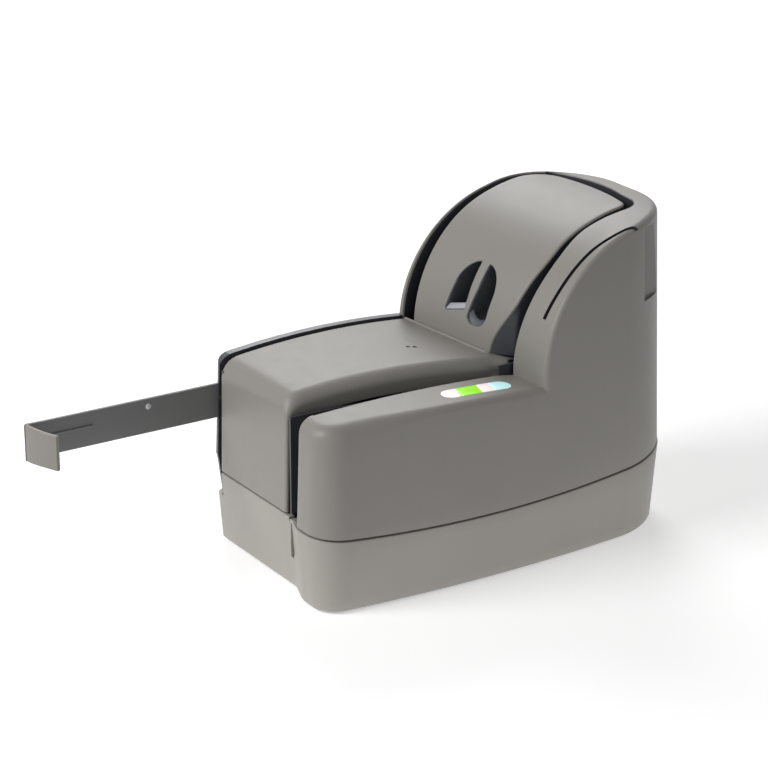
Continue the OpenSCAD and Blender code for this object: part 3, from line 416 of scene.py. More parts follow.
def pillow(outline, low, high, edge):
    """Closed form over a plan outline whose upper edge is rounded; high is a function of x and y."""
    inward = [beside(outline, k, closed=True) for k in range(len(outline))]
    rings = [[(x, y, low) for x, y in outline]]
    for a in quarter(4):
        move, drop = edge * (1 - math.cos(a)), edge * (1 - math.sin(a))
        rings.append([(x + ix * move, y + iy * move, high(x, y) - drop)
                      for (x, y), (ix, iy) in zip(outline, inward)])
    return skin(rings, caps=True)


# Finishes
def tone(*screen):
    """Colour of a finish from its 0 to 255 screen values."""
    shares = (v / 255 for v in screen)
    return (*(v / 12.92 if v <= 0.04045 else ((v + 0.055) / 1.055) ** 2.4 for v in shares), 1.0)


def surface_group(name, values):
    """Node group with these inputs, whose outputs are a colour, a roughness and a height."""
    kinds = {"Colour": "NodeSocketColor"}
    tree = bpy.data.node_groups.new(name, "ShaderNodeTree")
    for label, value in values.items():
        kind = kinds.get(label, "NodeSocketFloat")
        tree.interface.new_socket(name=label, in_out="INPUT", socket_type=kind).default_value = value
    for label in ("Colour", "Roughness", "Height"):
        kind = kinds.get(label, "NodeSocketFloat")
        tree.interface.new_socket(name=label, in_out="OUTPUT", socket_type=kind)
    return tree, tree.nodes.new("NodeGroupInput"), tree.nodes.new("NodeGroupOutput")


def set_inputs(node, values):
    for label, value in values.items():
        node.inputs[label].default_value = value


def feed(tree, sockets, values):
    """Gives sockets plain values, or links them to other sockets."""
    for socket, value in zip(sockets, values):
        if isinstance(value, (int, float, tuple)):
            socket.default_value = value
        else:
            tree.links.new(value, socket)


def noise(tree, coordinates, scale, detail=2.0):
    texture = tree.nodes.new("ShaderNodeTexNoise")
    sockets = [texture.inputs[label] for label in ("Vector", "Scale", "Detail")]
    feed(tree, sockets, (coordinates, scale, detail))
    return texture.outputs["Fac"]


def math_node(tree, operation, *values):
    node = tree.nodes.new("ShaderNodeMath")
    node.operation = operation
    feed(tree, node.inputs, values)
    return node.outputs[0]


def swing(tree, value, share, level):
    """Level moved up and down by a share of a noise value."""
    return math_node(tree, "MULTIPLY_ADD", math_node(tree, "SUBTRACT", value, 0.5), share, level)


def blend_colour(tree, share, a, b, mode="MIX"):
    node = tree.nodes.new("ShaderNodeMix")
    node.data_type = "RGBA"
    node.blend_type = mode
    feed(tree, [node.inputs[k] for k in (0, 6, 7)], (share, a, b))
    return node.outputs[2]


def toned(tree, colour, level):
    """Colour times a grey level."""
    grey = tree.nodes.new("ShaderNodeCombineColor")
    feed(tree, grey.inputs, [level] * 3)
    return blend_colour(tree, 1.0, colour, grey.outputs[0], "MULTIPLY")


def moulded_surface():
    """Moulded plastic: slow mottling, a fine eroded grain, and dust that lies on faces that look up."""
    tree, given, result = surface_group("moulded_surface", {
        "Colour": (0.5, 0.5, 0.5, 1), "Roughness": 0.5, "Grain size": 1500.0, "Dust": 0.1})
    place = tree.nodes.new("ShaderNodeTexCoord").outputs["Object"]
    slow = noise(tree, place, 22.0, 3.0)
    cloud = noise(tree, place, 160.0, 4.0)
    grain = noise(tree, place, given.outputs["Grain size"], 1.0)
    level = swing(tree, grain, 0.03, swing(tree, slow, 0.08, 1.0))
    colour = toned(tree, given.outputs["Colour"], level)
    normal = tree.nodes.new("ShaderNodeSeparateXYZ")
    tree.links.new(tree.nodes.new("ShaderNodeNewGeometry").outputs["Normal"], normal.inputs[0])
    upward = math_node(tree, "MAXIMUM", normal.outputs["Z"], 0.0)
    dust = math_node(tree, "MULTIPLY", math_node(tree, "MULTIPLY", upward, cloud), given.outputs["Dust"])
    rough = swing(tree, cloud, 0.1, given.outputs["Roughness"])
    feed(tree, result.inputs, (blend_colour(tree, dust, colour, tone(176, 172, 164)),
                               math_node(tree, "MULTIPLY_ADD", dust, 0.3, rough), grain))
    return tree


def drawn_surface():
    """Rolled or turned metal: fine lines along X and a slow change of tone."""
    tree, given, result = surface_group("drawn_surface", {
        "Colour": (0.5, 0.5, 0.5, 1), "Line share": 0.12, "Roughness": 0.3})
    place = tree.nodes.new("ShaderNodeTexCoord").outputs["Object"]
    stretch = tree.nodes.new("ShaderNodeMapping")
    stretch.inputs["Scale"].default_value = (40.0, 2600.0, 2600.0)
    tree.links.new(place, stretch.inputs["Vector"])
    lines = noise(tree, stretch.outputs[0], 1.0)
    lined = swing(tree, lines, given.outputs["Line share"], 0.94)
    level = math_node(tree, "MULTIPLY_ADD", noise(tree, place, 60.0), 0.12, lined)
    feed(tree, result.inputs, (toned(tree, given.outputs["Colour"], level),
                               swing(tree, lines, 0.16, given.outputs["Roughness"]), lines))
    return tree


MOULDED = moulded_surface()
DRAWN = drawn_surface()


def finish(name, group, values, bump, coat=0.0, glow=0.0, metal=False):
    """Material of one finish: the shared surface with its own values, feeding one shader."""
    material = bpy.data.materials.new(name)
    material.use_nodes = True
    tree = material.node_tree
    shader = tree.nodes["Principled BSDF"]
    surface = tree.nodes.new("ShaderNodeGroup")
    surface.node_tree = group
    set_inputs(surface, values)
    tree.links.new(surface.outputs["Colour"], shader.inputs["Base Color"])
    tree.links.new(surface.outputs["Roughness"], shader.inputs["Roughness"])
    relief = tree.nodes.new("ShaderNodeBump")
    set_inputs(relief, {"Strength": bump, "Distance": 0.0002})
    tree.links.new(surface.outputs["Height"], relief.inputs["Height"])
    tree.links.new(relief.outputs["Normal"], shader.inputs["Normal"])
    set_inputs(shader, {"Metallic": 1.0 if metal else 0.0, "Coat Weight": coat})
    if glow:
        tree.links.new(surface.outputs["Colour"], shader.inputs["Emission Color"])
        shader.inputs["Emission Strength"].default_value = glow
    return material


def plastic(name, colour, rough, bump=0.25, grain=1500.0, dust=0.08, coat=0.0, glow=0.0):
    values = {"Colour": tone(*colour), "Roughness": rough, "Grain size": grain, "Dust": dust}
    return finish(name, MOULDED, values, bump, coat, glow)


def lit_plastic(name, colour, glow):
    return plastic(name, colour, 0.25, bump=0.05, dust=0.0, coat=0.3, glow=glow)


def metal(name, colour, rough, lines=0.12):
    values = {"Colour": tone(*colour), "Roughness": rough, "Line share": lines}
    return finish(name, DRAWN, values, 0.1, metal=True)


casing_plastic = plastic("casing_plastic", (129, 126, 121), 0.48)
# Base plastic, lighter than the casing: painted bounce light from the floor on the base's downward-leaning
# wall.
base_plastic_painted_bounce = plastic("base_plastic_painted_bounce", (147, 144, 138), 0.5)
# Dark plastic of the real guide parts; also used as painted shade on the shell's inner skin in the tower gap,
# in the band groove and on the cover's side walls.
guide_plastic_and_painted_shade = plastic("guide_plastic_and_painted_shade", (52, 54, 60), 0.38, dust=0.02)
# Arm strip finish, darker than the casing: partly a darker plastic, partly painted shade cast by the casing
# and the far wall.
arm_plastic_and_painted_shade = plastic("arm_plastic_and_painted_shade", (98, 98, 98), 0.42, dust=0.02)
liner_plastic = plastic("liner_plastic", (80, 82, 86), 0.45, dust=0.02)
# Recess finish, darker than the casing: painted shade in the corner recess.
recess_painted_shade = plastic("recess_painted_shade", (98, 95, 91), 0.5, dust=0.02)
# Far pocket sill finish, lighter and bluer than the casing: painted reflection of the light from above.
sill_painted_reflection = plastic("sill_painted_reflection", (168, 170, 174), 0.3, dust=0.02)
light_white = lit_plastic("light_white", (252, 238, 240), 0.35)
light_cyan = lit_plastic("light_cyan", (205, 250, 252), 0.35)
light_green = lit_plastic("light_green", (146, 232, 14), 0.45)
sheet_steel = metal("sheet_steel", (196, 198, 202), 0.34)

SLOT_FINISH = {
    "casing": casing_plastic, "base": base_plastic_painted_bounce, "dark_plastic": guide_plastic_and_painted_shade, "steel": sheet_steel,
    "window_white": light_white, "window_green": light_green,
    "rubber": plastic("rubber_dark", (30, 30, 32), 0.8, bump=0.5, grain=900.0),
    "board": plastic("board_mask", (20, 92, 52), 0.3, bump=0.15, dust=0.05, coat=0.2),
    "black_plastic": plastic("chip_black", (26, 27, 29), 0.45),
    "roller_plastic": plastic("roller_white", (214, 212, 204), 0.4, dust=0.03),
    "cradle_plastic": plastic("cradle_grey", (96, 98, 104), 0.45),
    "sensor_glass": plastic("glass_dark", (26, 30, 38), 0.08, bump=0.0, dust=0.0, coat=1.0),
    "pulley_metal": metal("turned_metal", (186, 188, 190), 0.26, 0.2),
    "bush_brass": metal("sintered_brass", (196, 160, 92), 0.36),
}


# Outer shell
NOSE_X, NOSE_IN_X = -104.0, -113.4
NOSE_R, FENDER_R, CREASE_R, BAND_R, CORNER_R = 9.0, 5.0, 3.4, 2.4, 3.6
NOSE_EASE, CREASE_EASE = 55.0, 14.0
CREASE_Q, FENDER_MID_Z = -ARC_R, 104.0
FOOT_R, LIP_R, FUNNEL_DROP = 0.8, 0.9, 1.5
NEAR_LOW, RIGHT_LOW, FAR_LOW, NEAR_SKIRT = 98.0, 120.0, 45.0, 15.0
NOSE_CUTS, FENDER_CUTS, CREASE_CUTS, FRONT_CUTS, TOP_CUTS, FAR_CUTS = 30, 70, 4, 76, 110, 60
GROOVE_HALF, GROOVE_DEPTH = 1.25, 2.4
RECESS_DEPTH, RECESS_LOW, RECESS_HIGH = 1.4, 143.0, 186.5


def opening_line():
    """Inner edge of the shell: along the fender, round the turning cover, and back along the far wall."""
    points = [(-122, -40), (-90, -40), (-60, -40), (-30, -40), (0, -40), (10, -40.2), (16, -41.6),
              (21, -43.2), (30, -44.0), (40, -43.9), (48, -43.0), (54, -41.6), (60, -40.1), (66, -38.9),
              (72, -38.2), (82, -37.8), (92, -37.8)]
    points += arc(97.5, -22.9, 14.9, -90, -8, 10)
    points += arc(30.4, 8, 86.2, -14, 22, 9)
    points += arc(84, 27, 30.3, 36, 90, 9)
    points += [(60, 57.3), (40, 57.3), (20, 57.3), (9.5, 57.3)]
    return Line(smooth_line(points, 0.6))


def level_top(x1, y1, height):
    """Top of a cut that runs straight to x1, y1. height gives its z at x."""
    def point(first, k):
        x, y = first.x + (x1 - first.x) * k, first.y + (y1 - first.y) * k
        return Vector((x, y, height(x)))
    return point


def rolled_top(s, w0, w1):
    """Top of a cut over the tower at running length s, from w0 to w1 along the axis."""
    return lambda first, k: tower_point(s, w0 + (w1 - w0) * k)


class Shell:
    """Cuts through the outer shell, in turn from the nose to the end of the tower's far side."""

    def __init__(self):
        self.cuts = []
        edge, inner = self.edge, self.inner = Line(casing_outline(False)), opening_line()
        self.nose_end = edge.find(lambda u: edge.at(u)[0] - NOSE_X, 8, 60)
        self.top_near = edge.find(lambda u: across(*edge.at(u)[:2])[0] - CROWN_Q, 150, 290)
        self.inner_near = self.inner_length(CROWN_Q, 150, 260)
        self.inner_far = self.inner_length(CROWN_Q, inner.total - 150, inner.total)
        self.nose_q = across(*self.centre(self.nose_end, NOSE_R, FENDER_MID_Z)[:2])[0]

    def centre(self, u, r, z):
        """Centre of a rounding at length u of the edge, and the wall's outward direction there."""
        x, y, nx, ny = self.edge.at(u)
        out = growth(z) - r
        return x + nx * out, y + ny * out, Vector((nx, ny, DRAFT)).normalized()

    def edge_length(self, q, r, height, lo, hi):
        """Length along the edge where the rounding's centre lies at q across the tower's axis."""
        return self.edge.find(lambda u: across(*self.centre(u, r, height(u))[:2])[0] - q, lo, hi)

    def inner_length(self, q, lo, hi):
        """Length along the inner edge where it lies at q across the tower's axis."""
        return self.inner.find(lambda v: across(*self.inner.at(v))[0] - q, lo, hi)

    def inner_near_point(self, q):
        return self.inner.at(self.inner_length(q, 0, self.inner_near))

    def cut(self, u, r, c, m, n, low, top):
        """Adds the cut at length u. c is the rounding's centre, m and n are its outer and upper directions,
        low ends the inner skin, and top gives the points from the rounding to the inner edge."""
        x0, y0, nx, ny = self.edge.at(u)

        def wall(z, inwards=0.0):
            g = growth(z) - inwards
            return Vector((x0 + nx * g, y0 + ny * g, z))

        foot = seam(x0) + SEAM_GAP / 2
        c = Vector(c)
        start = c + m * r
        points = [wall(foot + rise, inwards)
                  for rise, inwards in ((0.0, 1.0), (0.06, 0.5), (0.3, 0.12), (FOOT_R, 0.0))]
        points += [wall(foot + FOOT_R + (start.z - foot - FOOT_R) * k) for k in (0.12, 0.3, 0.55, 0.8)]
        points += [c + turn_between(m, n, k / 8) * r for k in range(9)]
        first = points[-1]
        points += [top(first, k / 8) for k in range(1, 9)]

        # rounded lip, the inner skin down to low, and back up inside the wall
        tip = points.pop()
        away = tip - points[-1]
        away = away.normalized() if away.length > 1e-4 else Vector((0, 1, 0))
        for a in quarter(3):
            points.append(tip - away * LIP_R * (1 - math.sin(a)) - n * LIP_R * (1 - math.cos(a)))
        base = points[-1]
        points += [Vector((base.x, base.y, base.z + (low - base.z) * k)) for k in (0.25, 0.6, 1.0)]
        thick = min(WALL, max(0.25, (start - base).length * 0.3))
        outward = Vector((x0 - base.x, y0 - base.y, 0)).normalized() * thick * 0.8
        points.append(points[-1] + outward)
        under = base + outward - n * thick
        points.append(Vector((under.x, under.y, max(under.z, low + 0.2))))
        inset = wall(c.z, max(thick, r * 0.4))
        inset.z = max(c.z + r * 0.8 - thick * 1.3, low + 0.3)
        points += [inset, wall(foot, thick)]
        self.cuts.append(points)

    def fender_cut(self, u, r, cx, cy, m, inner_point):
        self.cut(u, r, (cx, cy, fender_top(cx) - r), m, fender_normal(cx), seam(cx) - FUNNEL_DROP,
                 level_top(*inner_point, fender_top))

    def nose(self):
        """Round left end, its cuts fanned out over the inner edge up to the fender's first cut."""
        last_x = self.inner_near_point(self.nose_q)[0]
        for i in range(NOSE_CUTS):
            u = self.nose_end * i / NOSE_CUTS
            cx, cy, m = self.centre(u, NOSE_R, fender_top(self.edge.at(u)[0]) - NOSE_R)
            goal_x = NOSE_IN_X + (last_x - NOSE_IN_X) * i / NOSE_CUTS
            self.fender_cut(u, NOSE_R, cx, cy, m, (goal_x, FUNNEL_Y))

    def fender(self):
        for i in range(FENDER_CUTS + 1):
            q = self.nose_q + (CREASE_Q - self.nose_q) * i / FENDER_CUTS
            r = FENDER_R + (CREASE_R - FENDER_R) * ease((q - CREASE_Q + CREASE_EASE) / CREASE_EASE)
            r += (NOSE_R - FENDER_R) * (1 - ease((q - self.nose_q) / NOSE_EASE))
            u = self.edge_length(q, r, lambda u: fender_top(self.edge.at(u)[0]) - r,
                                 self.nose_end - 4, self.top_near)
            cx, cy, m = self.centre(u, r, FENDER_MID_Z)
            self.fender_cut(u, r, cx, cy, m, self.inner_near_point(q))

    def crease(self):
        """Where the fender turns up into the round front of the tower."""
        top = level_top(*self.inner_near_point(CREASE_Q), fender_top)
        for a in quarter(CREASE_CUTS, 1):
            u = self.edge_length(CREASE_Q + CREASE_R * math.sin(a), CREASE_R, lambda u: FENDER_MID_Z,
                                 self.nose_end, self.top_near)
            cx, cy, m = self.centre(u, CREASE_R, FENDER_MID_Z)
            z = fender_top(plan(CREASE_Q, across(cx, cy)[1])[0]) - CREASE_R * math.cos(a)
            self.cut(u, CREASE_R, (cx, cy, z), m, leaning(a), seam(cx) - FUNNEL_DROP, top)

    def rolled_cut(self, s, r, lo, hi, inner_point, far=False):
        """Cut over the tower's round front at running length s. Gives its length along the edge."""
        z = profile(s, -r)[1]
        u = self.edge_length(profile(s, -r)[0], r, lambda u: z, lo, hi)
        cx, cy, m = self.centre(u, r, z)
        w0, w1 = across(cx, cy)[1], across(*inner_point)[1]
        w1 = min(w1, w0 - 0.3) if far else w1
        low = FAR_LOW if far else max(tower_point(s, w1).z - NEAR_SKIRT, NEAR_LOW)
        self.cut(u, r, (cx, cy, z), m, tower_normal(s), low, rolled_top(s, w0, w1))
        return u

    def front(self):
        """Round front of the tower, up to where its top is level. Gives the length reached."""
        for i in range(FRONT_CUTS + 1):
            s = length_at(math.pi / 2) * (1 - i / FRONT_CUTS)
            r = CREASE_R + (BAND_R - CREASE_R) * ease(i / 12) + (CORNER_R - BAND_R) * ease((i - 34) / 30)
            inner_point = self.inner_near_point(profile(s)[0])
            u = self.rolled_cut(s, r, self.nose_end, self.top_near + 15, inner_point)
        return u

    def right_end(self, near_u):
        """Level top round the right end. Gives the length reached."""
        total = self.edge.total
        far_u = self.edge_length(CROWN_Q - 0.01, BAND_R, lambda u: TOWER_Z - BAND_R, total - 170, total)
        for i in range(1, TOP_CUTS):
            t = i / TOP_CUTS
            u = near_u + (far_u - near_u) * t
            r = CORNER_R + (BAND_R - CORNER_R) * ease((t - 0.35) / 0.3)
            cx, cy, m = self.centre(u, r, TOWER_Z - r)
            inner_point = self.inner.at(self.inner_near + (self.inner_far - self.inner_near) * t)
            low = RIGHT_LOW + (FAR_LOW - RIGHT_LOW) * ease((t - 0.7) / 0.2)
            self.cut(u, r, (cx, cy, TOWER_Z - r), m, leaning(0), low,
                     level_top(*inner_point, lambda x: TOWER_Z))
        return far_u

    def far_side(self, far_u):
        """Far side of the tower, back down its round front."""
        for i in range(FAR_CUTS + 1):
            s = length_at(math.radians(88.0)) * i / FAR_CUTS
            v = self.inner_length(profile(s)[0], self.inner_far - 3, self.inner.total)
            self.rolled_cut(s, BAND_R, far_u - 10, self.edge.total, self.inner.at(v), far=True)


def band_groove():
    """Narrow slot along the near band of the tower."""
    flat = [rolled(*point) for point in smooth_line([
        (26.8, -59.3), (36, -60.2), (47, -60.0), (58, -59.5), (66, -59.8), (74, -60.2), (80.5, -60.5),
        (85.3, -61.4), (87.6, -64.0), (88.9, -67.6)], 1.5)]
    rings = []
    for k, (s, w) in enumerate(flat):
        ds, dw = beside(flat, k)
        rings.append([tower_point(s + side * ds, w + side * dw, rise)
                      for side, rise in ((GROOVE_HALF, 1.0), (-GROOVE_HALF, 1.0),
                                         (-GROOVE_HALF, -GROOVE_DEPTH), (GROOVE_HALF, -GROOVE_DEPTH))])
    return skin(rings, caps=True)


def corner_recess():
    """Plan of the shallow recess beside the tower's near corner. It is deepest at its left end."""
    r, left, right = RIGHT_R - 0.9, -68, -47
    return [arc(RIGHT_X, CORNER_Y, radius, angle, angle, 1)[0]
            for radius, angle in ((r - RECESS_DEPTH, left), (r, right), (r + 6, right),
                                  (r + 9, (left + right) / 2), (r + 6, left))]


def outer_shell():
    shell = Shell()
    shell.nose()
    shell.fender()
    shell.crease()
    shell.far_side(shell.right_end(shell.front()))
    verts, faces = skin(shell.cuts, caps=True)
    around, tower_from = len(shell.cuts[0]), NOSE_CUTS + FENDER_CUTS + 1 + CREASE_CUTS
    # Faces 27 to 33 of each tower cut (the inner skin and its underside) take the dark finish: painted shade
    # in the gap beside the cover.
    marks = [1 if k // around >= tower_from and 27 <= k % around <= 33 else 0 for k in range(len(faces))]
    piece = make_object("outer_casing", verts, faces, "casing",
                        [casing_plastic, guide_plastic_and_painted_shade, recess_painted_shade], sharp=28, marks=marks)
    # The groove's faces take the dark finish: painted shade in the slot.
    cut_away(piece, "band_groove", *band_groove(), mark=1)
    # The recess's faces take the darker recess finish: painted shade.
    cut_away(piece, "corner_recess", *prism(corner_recess(), RECESS_LOW, RECESS_HIGH), mark=2)
    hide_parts("outer_shell")


# Lower housing
BASE_Z, CHAMFER_Z, CHAMFER, TONGUE = 1.2, 2.6, 0.2, 2.2
SOCKET_LOW, SOCKET_HIGH = 6.3, 15.9


def base_growth(z):
    return -CHAMFER + 0.0711 * (z - CHAMFER_Z)


def base_housing():
    rings = []
    for x, y, nx, ny in casing_outline(True):
        top = seam(x) - SEAM_GAP / 2
        at_mouth = x < -100 and -46 < y < -16
        tongue_z = top if at_mouth else top + TONGUE
        grown = base_growth(top)
        outside = [(BASE_Z, -1.5), (BASE_Z + 0.15, -1.2), (BASE_Z + 0.6, -0.75), (CHAMFER_Z, -CHAMFER)]
        outside += [(z, base_growth(z)) for z in (8.0, 16.0, 25.0, 34.0)]
        outside += [(top - 0.8, grown - 0.02), (top - 0.35, grown - 0.12), (top - 0.08, grown - 0.36),
                    (top, grown - 0.8)]
        inside = [(top, 0.15), (tongue_z, 0.12), (tongue_z, -0.8), (top - 2.0, -0.8),
                  (top - 3.2, base_growth(top) - WALL), (CHAMFER_Z, -CHAMFER - WALL),
                  (BASE_Z, -0.3 - WALL)]
        rings.append([(x + nx * d, y + ny * d, z) for z, d in outside + inside])
    # The housing's lighter base plastic carries painted bounce light from the floor.
    piece = make_object("lower_housing", *skin(rings, closed_along=True), "casing", [base_plastic_painted_bounce])
    way = [(x, track_y(x)) for x in (-128, MOUTH_X, -108)]
    slit = [(x, y - HALF_GAP) for x, y in way] + [(x, y + HALF_GAP) for x, y in reversed(way)]
    cut_away(piece, "mouth_slit", *prism(slit, 20.0, 60.0))
    cut_away(piece, "exit_corner", *block(-130, -100, 54.25, 84, 30, 70))
    for x, width in ((-97, 12), (-84, 11)):
        cut_away(piece, "socket_hole", *block(x - 0.3, x + width + 0.3, 50, 80, SOCKET_LOW, SOCKET_HIGH))
    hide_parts("base_housing")


def funnel_floor():
    """Floor of the funnel, with a rounded edge where the cheque drops into the track."""
    left, right, near_y, sheet, wall_low, cuts = -119.6, 9.0, -52.0, 2.4, 22.0, 60
    bend = ((1.2, 0), (0.6, 0.16), (0.16, 0.6), (0, 1.2), (0, wall_low), (1.5, wall_low), (1.5, sheet))
    rings = []
    for i in range(cuts + 1):
        x = left + (right - left) * i / cuts
        z = seam(x) - 0.15
        edge = track_y(x) - HALF_GAP
        near = max(near_y - 8.0, near_y - (x - left) * 2.0)
        ring = [(x, near, z - sheet), (x, near, z)]
        rings.append(ring + [(x, edge - back, z - down) for back, down in bend])
    piece = make_object("funnel_floor", *skin(rings, caps=True), "casing", [base_plastic_painted_bounce])


# Deck over the inner block
DECK_LEFT, DECK_LEAN, DECK_ROLL, DECK_SIDE_R, DECK_CORNER = -118.0, 1.6, 12.0, 8.0, 1.6
DECK_FAR_Y, DECK_FAR_R, DECK_NEAR_GAP = 55.0, 1.5, 5.2
DECK_STEP_X, DECK_END_X, DECK_LIP, DECK_WALL = 17.9, 19.6, 1.0, 2.2
DECK_START, DECK_LEVEL_FROM = DECK_LEFT + DECK_LEAN + DECK_ROLL, -106.0
LIGHT_HOLES, LIGHT_HOLE_R = ((-20.5, 6.4), (-17.3, 4.4)), 1.4


def deck_columns():
    """Cuts from the left end to the lip at the tower, each as x and its drop below the deck."""
    foot, head = seam(MOUTH_X) + SEAM_GAP / 2, deck_top(DECK_LEVEL_FROM) - DECK_ROLL
    low = SEAM_Z - 4
    wall = [foot + (head - foot) * k / 8 for k in range(9)]
    columns = [(DECK_LEFT + DECK_LEAN * (z - low) / (head - low), head + DECK_ROLL - z) for z in wall]
    columns += [(DECK_START - DECK_ROLL * math.cos(a), DECK_ROLL * (1 - math.sin(a))) for a in quarter(16, 1)]
    columns += [(DECK_START + (DECK_STEP_X - DECK_START) * k / 70, 0.0) for k in range(1, 71)]
    columns += [(DECK_STEP_X + 1.4 * math.sin(a), -DECK_LIP * (1 - math.cos(a))) for a in quarter(5, 1)]
    return columns + [(DECK_END_X, -DECK_LIP)]


def deck_rows():
    """Places across the deck: share of its flat part, what is added to that, and the fall."""
    rows = [(0, -DECK_SIDE_R, 13.8), (0, -DECK_SIDE_R, 11.5)]
    rows += [(0, -DECK_SIDE_R * math.cos(a), DECK_SIDE_R * (1 - math.sin(a))) for a in quarter(12)]
    rows += [(k / 24, 0.0, 0.0) for k in range(1, 24)]
    rows += [(1, DECK_FAR_R * math.sin(a), DECK_FAR_R * (1 - math.cos(a))) for a in quarter(6)]
    return rows + [(1, DECK_FAR_R, 9.0)]


def deck_block():
    rings = []
    for x, drop in deck_columns():
        flat = ease((x - 3.0) / 16.0)
        near = track_y(x) + DECK_NEAR_GAP - 2.0 * flat
        first, last = near + DECK_SIDE_R, DECK_FAR_Y - DECK_FAR_R
        ring = []
        for share, extra, fall in deck_rows():
            if share == 0:
                fall *= 1 - 0.8 * flat
            y = first + (last - first) * share + extra
            place = x
            if drop <= 0:
                limit = plan(CREASE_Q - 0.6, across(x, y)[1])[0] + 13.0 * ease((-19.0 - y) / 9.0)
                place = DECK_START + (limit - DECK_START) * (x - DECK_START) / (DECK_END_X - DECK_START)
            lowered = drop if drop > 0 or 0 < share < 1 or fall < 1 else 0.0
            z = max(deck_top(max(place, DECK_LEVEL_FROM)) - lowered - fall, seam(place) + SEAM_GAP / 2)
            side = min(y - near, DECK_FAR_Y - y)
            if side < DECK_CORNER and drop > 0:
                inwards = DECK_CORNER - math.sqrt(max(DECK_CORNER ** 2 - (DECK_CORNER - side) ** 2, 0))
                place += inwards * min(drop / DECK_ROLL, 1.0)
            ring.append((place, y, z))
        rings.append(ring)
    piece = make_object("deck_block", *skin(rings, closed_rings=False), "casing", [casing_plastic])
    thicken(piece, DECK_WALL, len(piece.data.polygons) // 2, (DECK_X, 10, 60))
    for x, y in LIGHT_HOLES:
        cut_away(piece, "light_hole", *prism(ring_of(x, y, LIGHT_HOLE_R, 24), 105.0, 130.0))
    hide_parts("deck_cover")


# Turning cover of the tower
COVER_EDGE_R, COVER_WALL, COVER_FAR_Y, DECK_MEETS_X = 1.3, 2.3, 52.2, 15.0
COVER_ALONG, COVER_ACROSS = 150, 60
SKIRT = [(40, None), (60, 140.0), (85, 167.0), (91, 178.0), (95, 186.0)]


def skirt_end(x):
    """Lower edge of the cover's side walls."""
    low = deck_top(DECK_MEETS_X) + 0.5
    for (x0, z0), (x1, z1) in zip(SKIRT, SKIRT[1:]):
        if x0 <= x < x1:
            z0 = z0 or low
            return z0 + (z1 - z0) * (x - x0) / (x1 - x0)
    return low if x < SKIRT[0][0] else SKIRT[-1][1]


def cover_step(x):
    """How far the cover's near edge stands back from its long curve, beside the deck."""
    return 0.084 * min(max(27.0 - x, 0.0), 11.0) ** 2


def cover_line(shrink):
    """Near and far boundary of the cover in plan, both from the left, and the rear arc between them."""
    near, far = [], []
    for x in (9.0 + 88.0 * k / 120 for k in range(121)):
        bowed = 74.2 - math.sqrt((113.7 - shrink) ** 2 - (x - 57) ** 2)
        straight = shrink - 38.7 + 0.1 * (x - 39)
        near.append((x, bowed + (straight - bowed) * ease((x - 36) / 20) + cover_step(x)))
    near += arc(97.2, -25.3, 7.3 - shrink, -72, -18, 14)
    rear = arc(-20, 8, 128.7 - shrink, -14.5, 10.5, 24)
    for x in (5.0 + 77.0 * k / 66 for k in range(66)):
        far.append((x, COVER_FAR_Y - shrink - 6 * (max(75 - x, 0) / 75) ** 2))
    far += reversed(arc(84, COVER_FAR_Y - 23, 23 - shrink, 8, 90, 40))
    return near, rear, far


def outward_on(flat):
    """Outward directions along an open border of points on the rolled surface."""
    left = [beside(flat, k) for k in range(1, len(flat) - 1)]
    return [(0.0, -1.0), *((-ds, -dw) for ds, dw in left), (0.0, 1.0)]


def cover_grid():
    """Rows of points s, w over the cover, from the left end to the rear arc."""
    near, rear, far = (Line([rolled(*p) for p in side]) for side in cover_line(COVER_EDGE_R))
    s_left = length_at(math.acos((deck_top(DECK_MEETS_X) + 0.6 - ARC_Z) / ARC_R))
    near_from, far_from = (line.find(lambda v: line.at(v)[0] - s_left, 0, line.total / 2)
                           for line in (near, far))
    grid = []
    for i in range(COVER_ALONG + 1):
        t = i / COVER_ALONG
        s0, w0 = near.at(near_from + (near.total - near_from) * t)
        s1, w1 = far.at(far_from + (far.total - far_from) * t)
        bulge = ease((t - 0.5) / 0.5) ** 1.5
        row = []
        for k in (j / COVER_ACROSS for j in range(COVER_ACROSS + 1)):
            chord_s = near.at(near.total)[0] * (1 - k) + far.at(far.total)[0] * k
            moved = (rear.at(rear.total * k)[0] - chord_s) * bulge
            row.append((s0 + (s1 - s0) * k + moved, w0 + (w1 - w0) * k))
        grid.append(row)
    return grid


def tower_cover():
    grid = cover_grid()
    top = [[tower_point(s, w) for s, w in row] for row in grid]

    # border from the left end round by the near side, the rear arc and the far side
    border = [row[0] for row in grid] + grid[-1][1:] + [row[-1] for row in grid[-2::-1]]
    edge = [[tower_point(s, w) for s, w in border]]
    for a in quarter(4, 1):
        out, drop = COVER_EDGE_R * math.sin(a), COVER_EDGE_R * (1 - math.cos(a))
        edge.append([tower_point(s + os * out, w + ow * out) - tower_normal(s) * drop
                     for (s, w), (os, ow) in zip(border, outward_on(border))])
    walls = [edge[-1]]
    for share in (0.2, 0.55, 1.0):
        walls.append([Vector((x, y, z + (min(skirt_end(x), z - 0.2) - z) * share))
                      for x, y, z in edge[-1]])
    # The cover's side walls (mark 1) take the dark finish: painted shade under the cover's edge.
    verts, faces, marks = joined((*skin(rings, closed_rings=False), mark)
                                 for rings, mark in ((top, 0), (edge, 0), (walls, 1)))
    piece = make_object("turning_cover", verts, faces, "cover",
                        [casing_plastic, guide_plastic_and_painted_shade, liner_plastic], marks=marks)
    thicken(piece, COVER_WALL, (COVER_ALONG + 1) * COVER_ACROSS // 2, (AXIS[0], 0, 60))
    for lobe in pocket_lobes():
        cut_away(piece, "finger_pocket", *pocket_tool(lobe), mark=2)
    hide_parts("tower_cover")


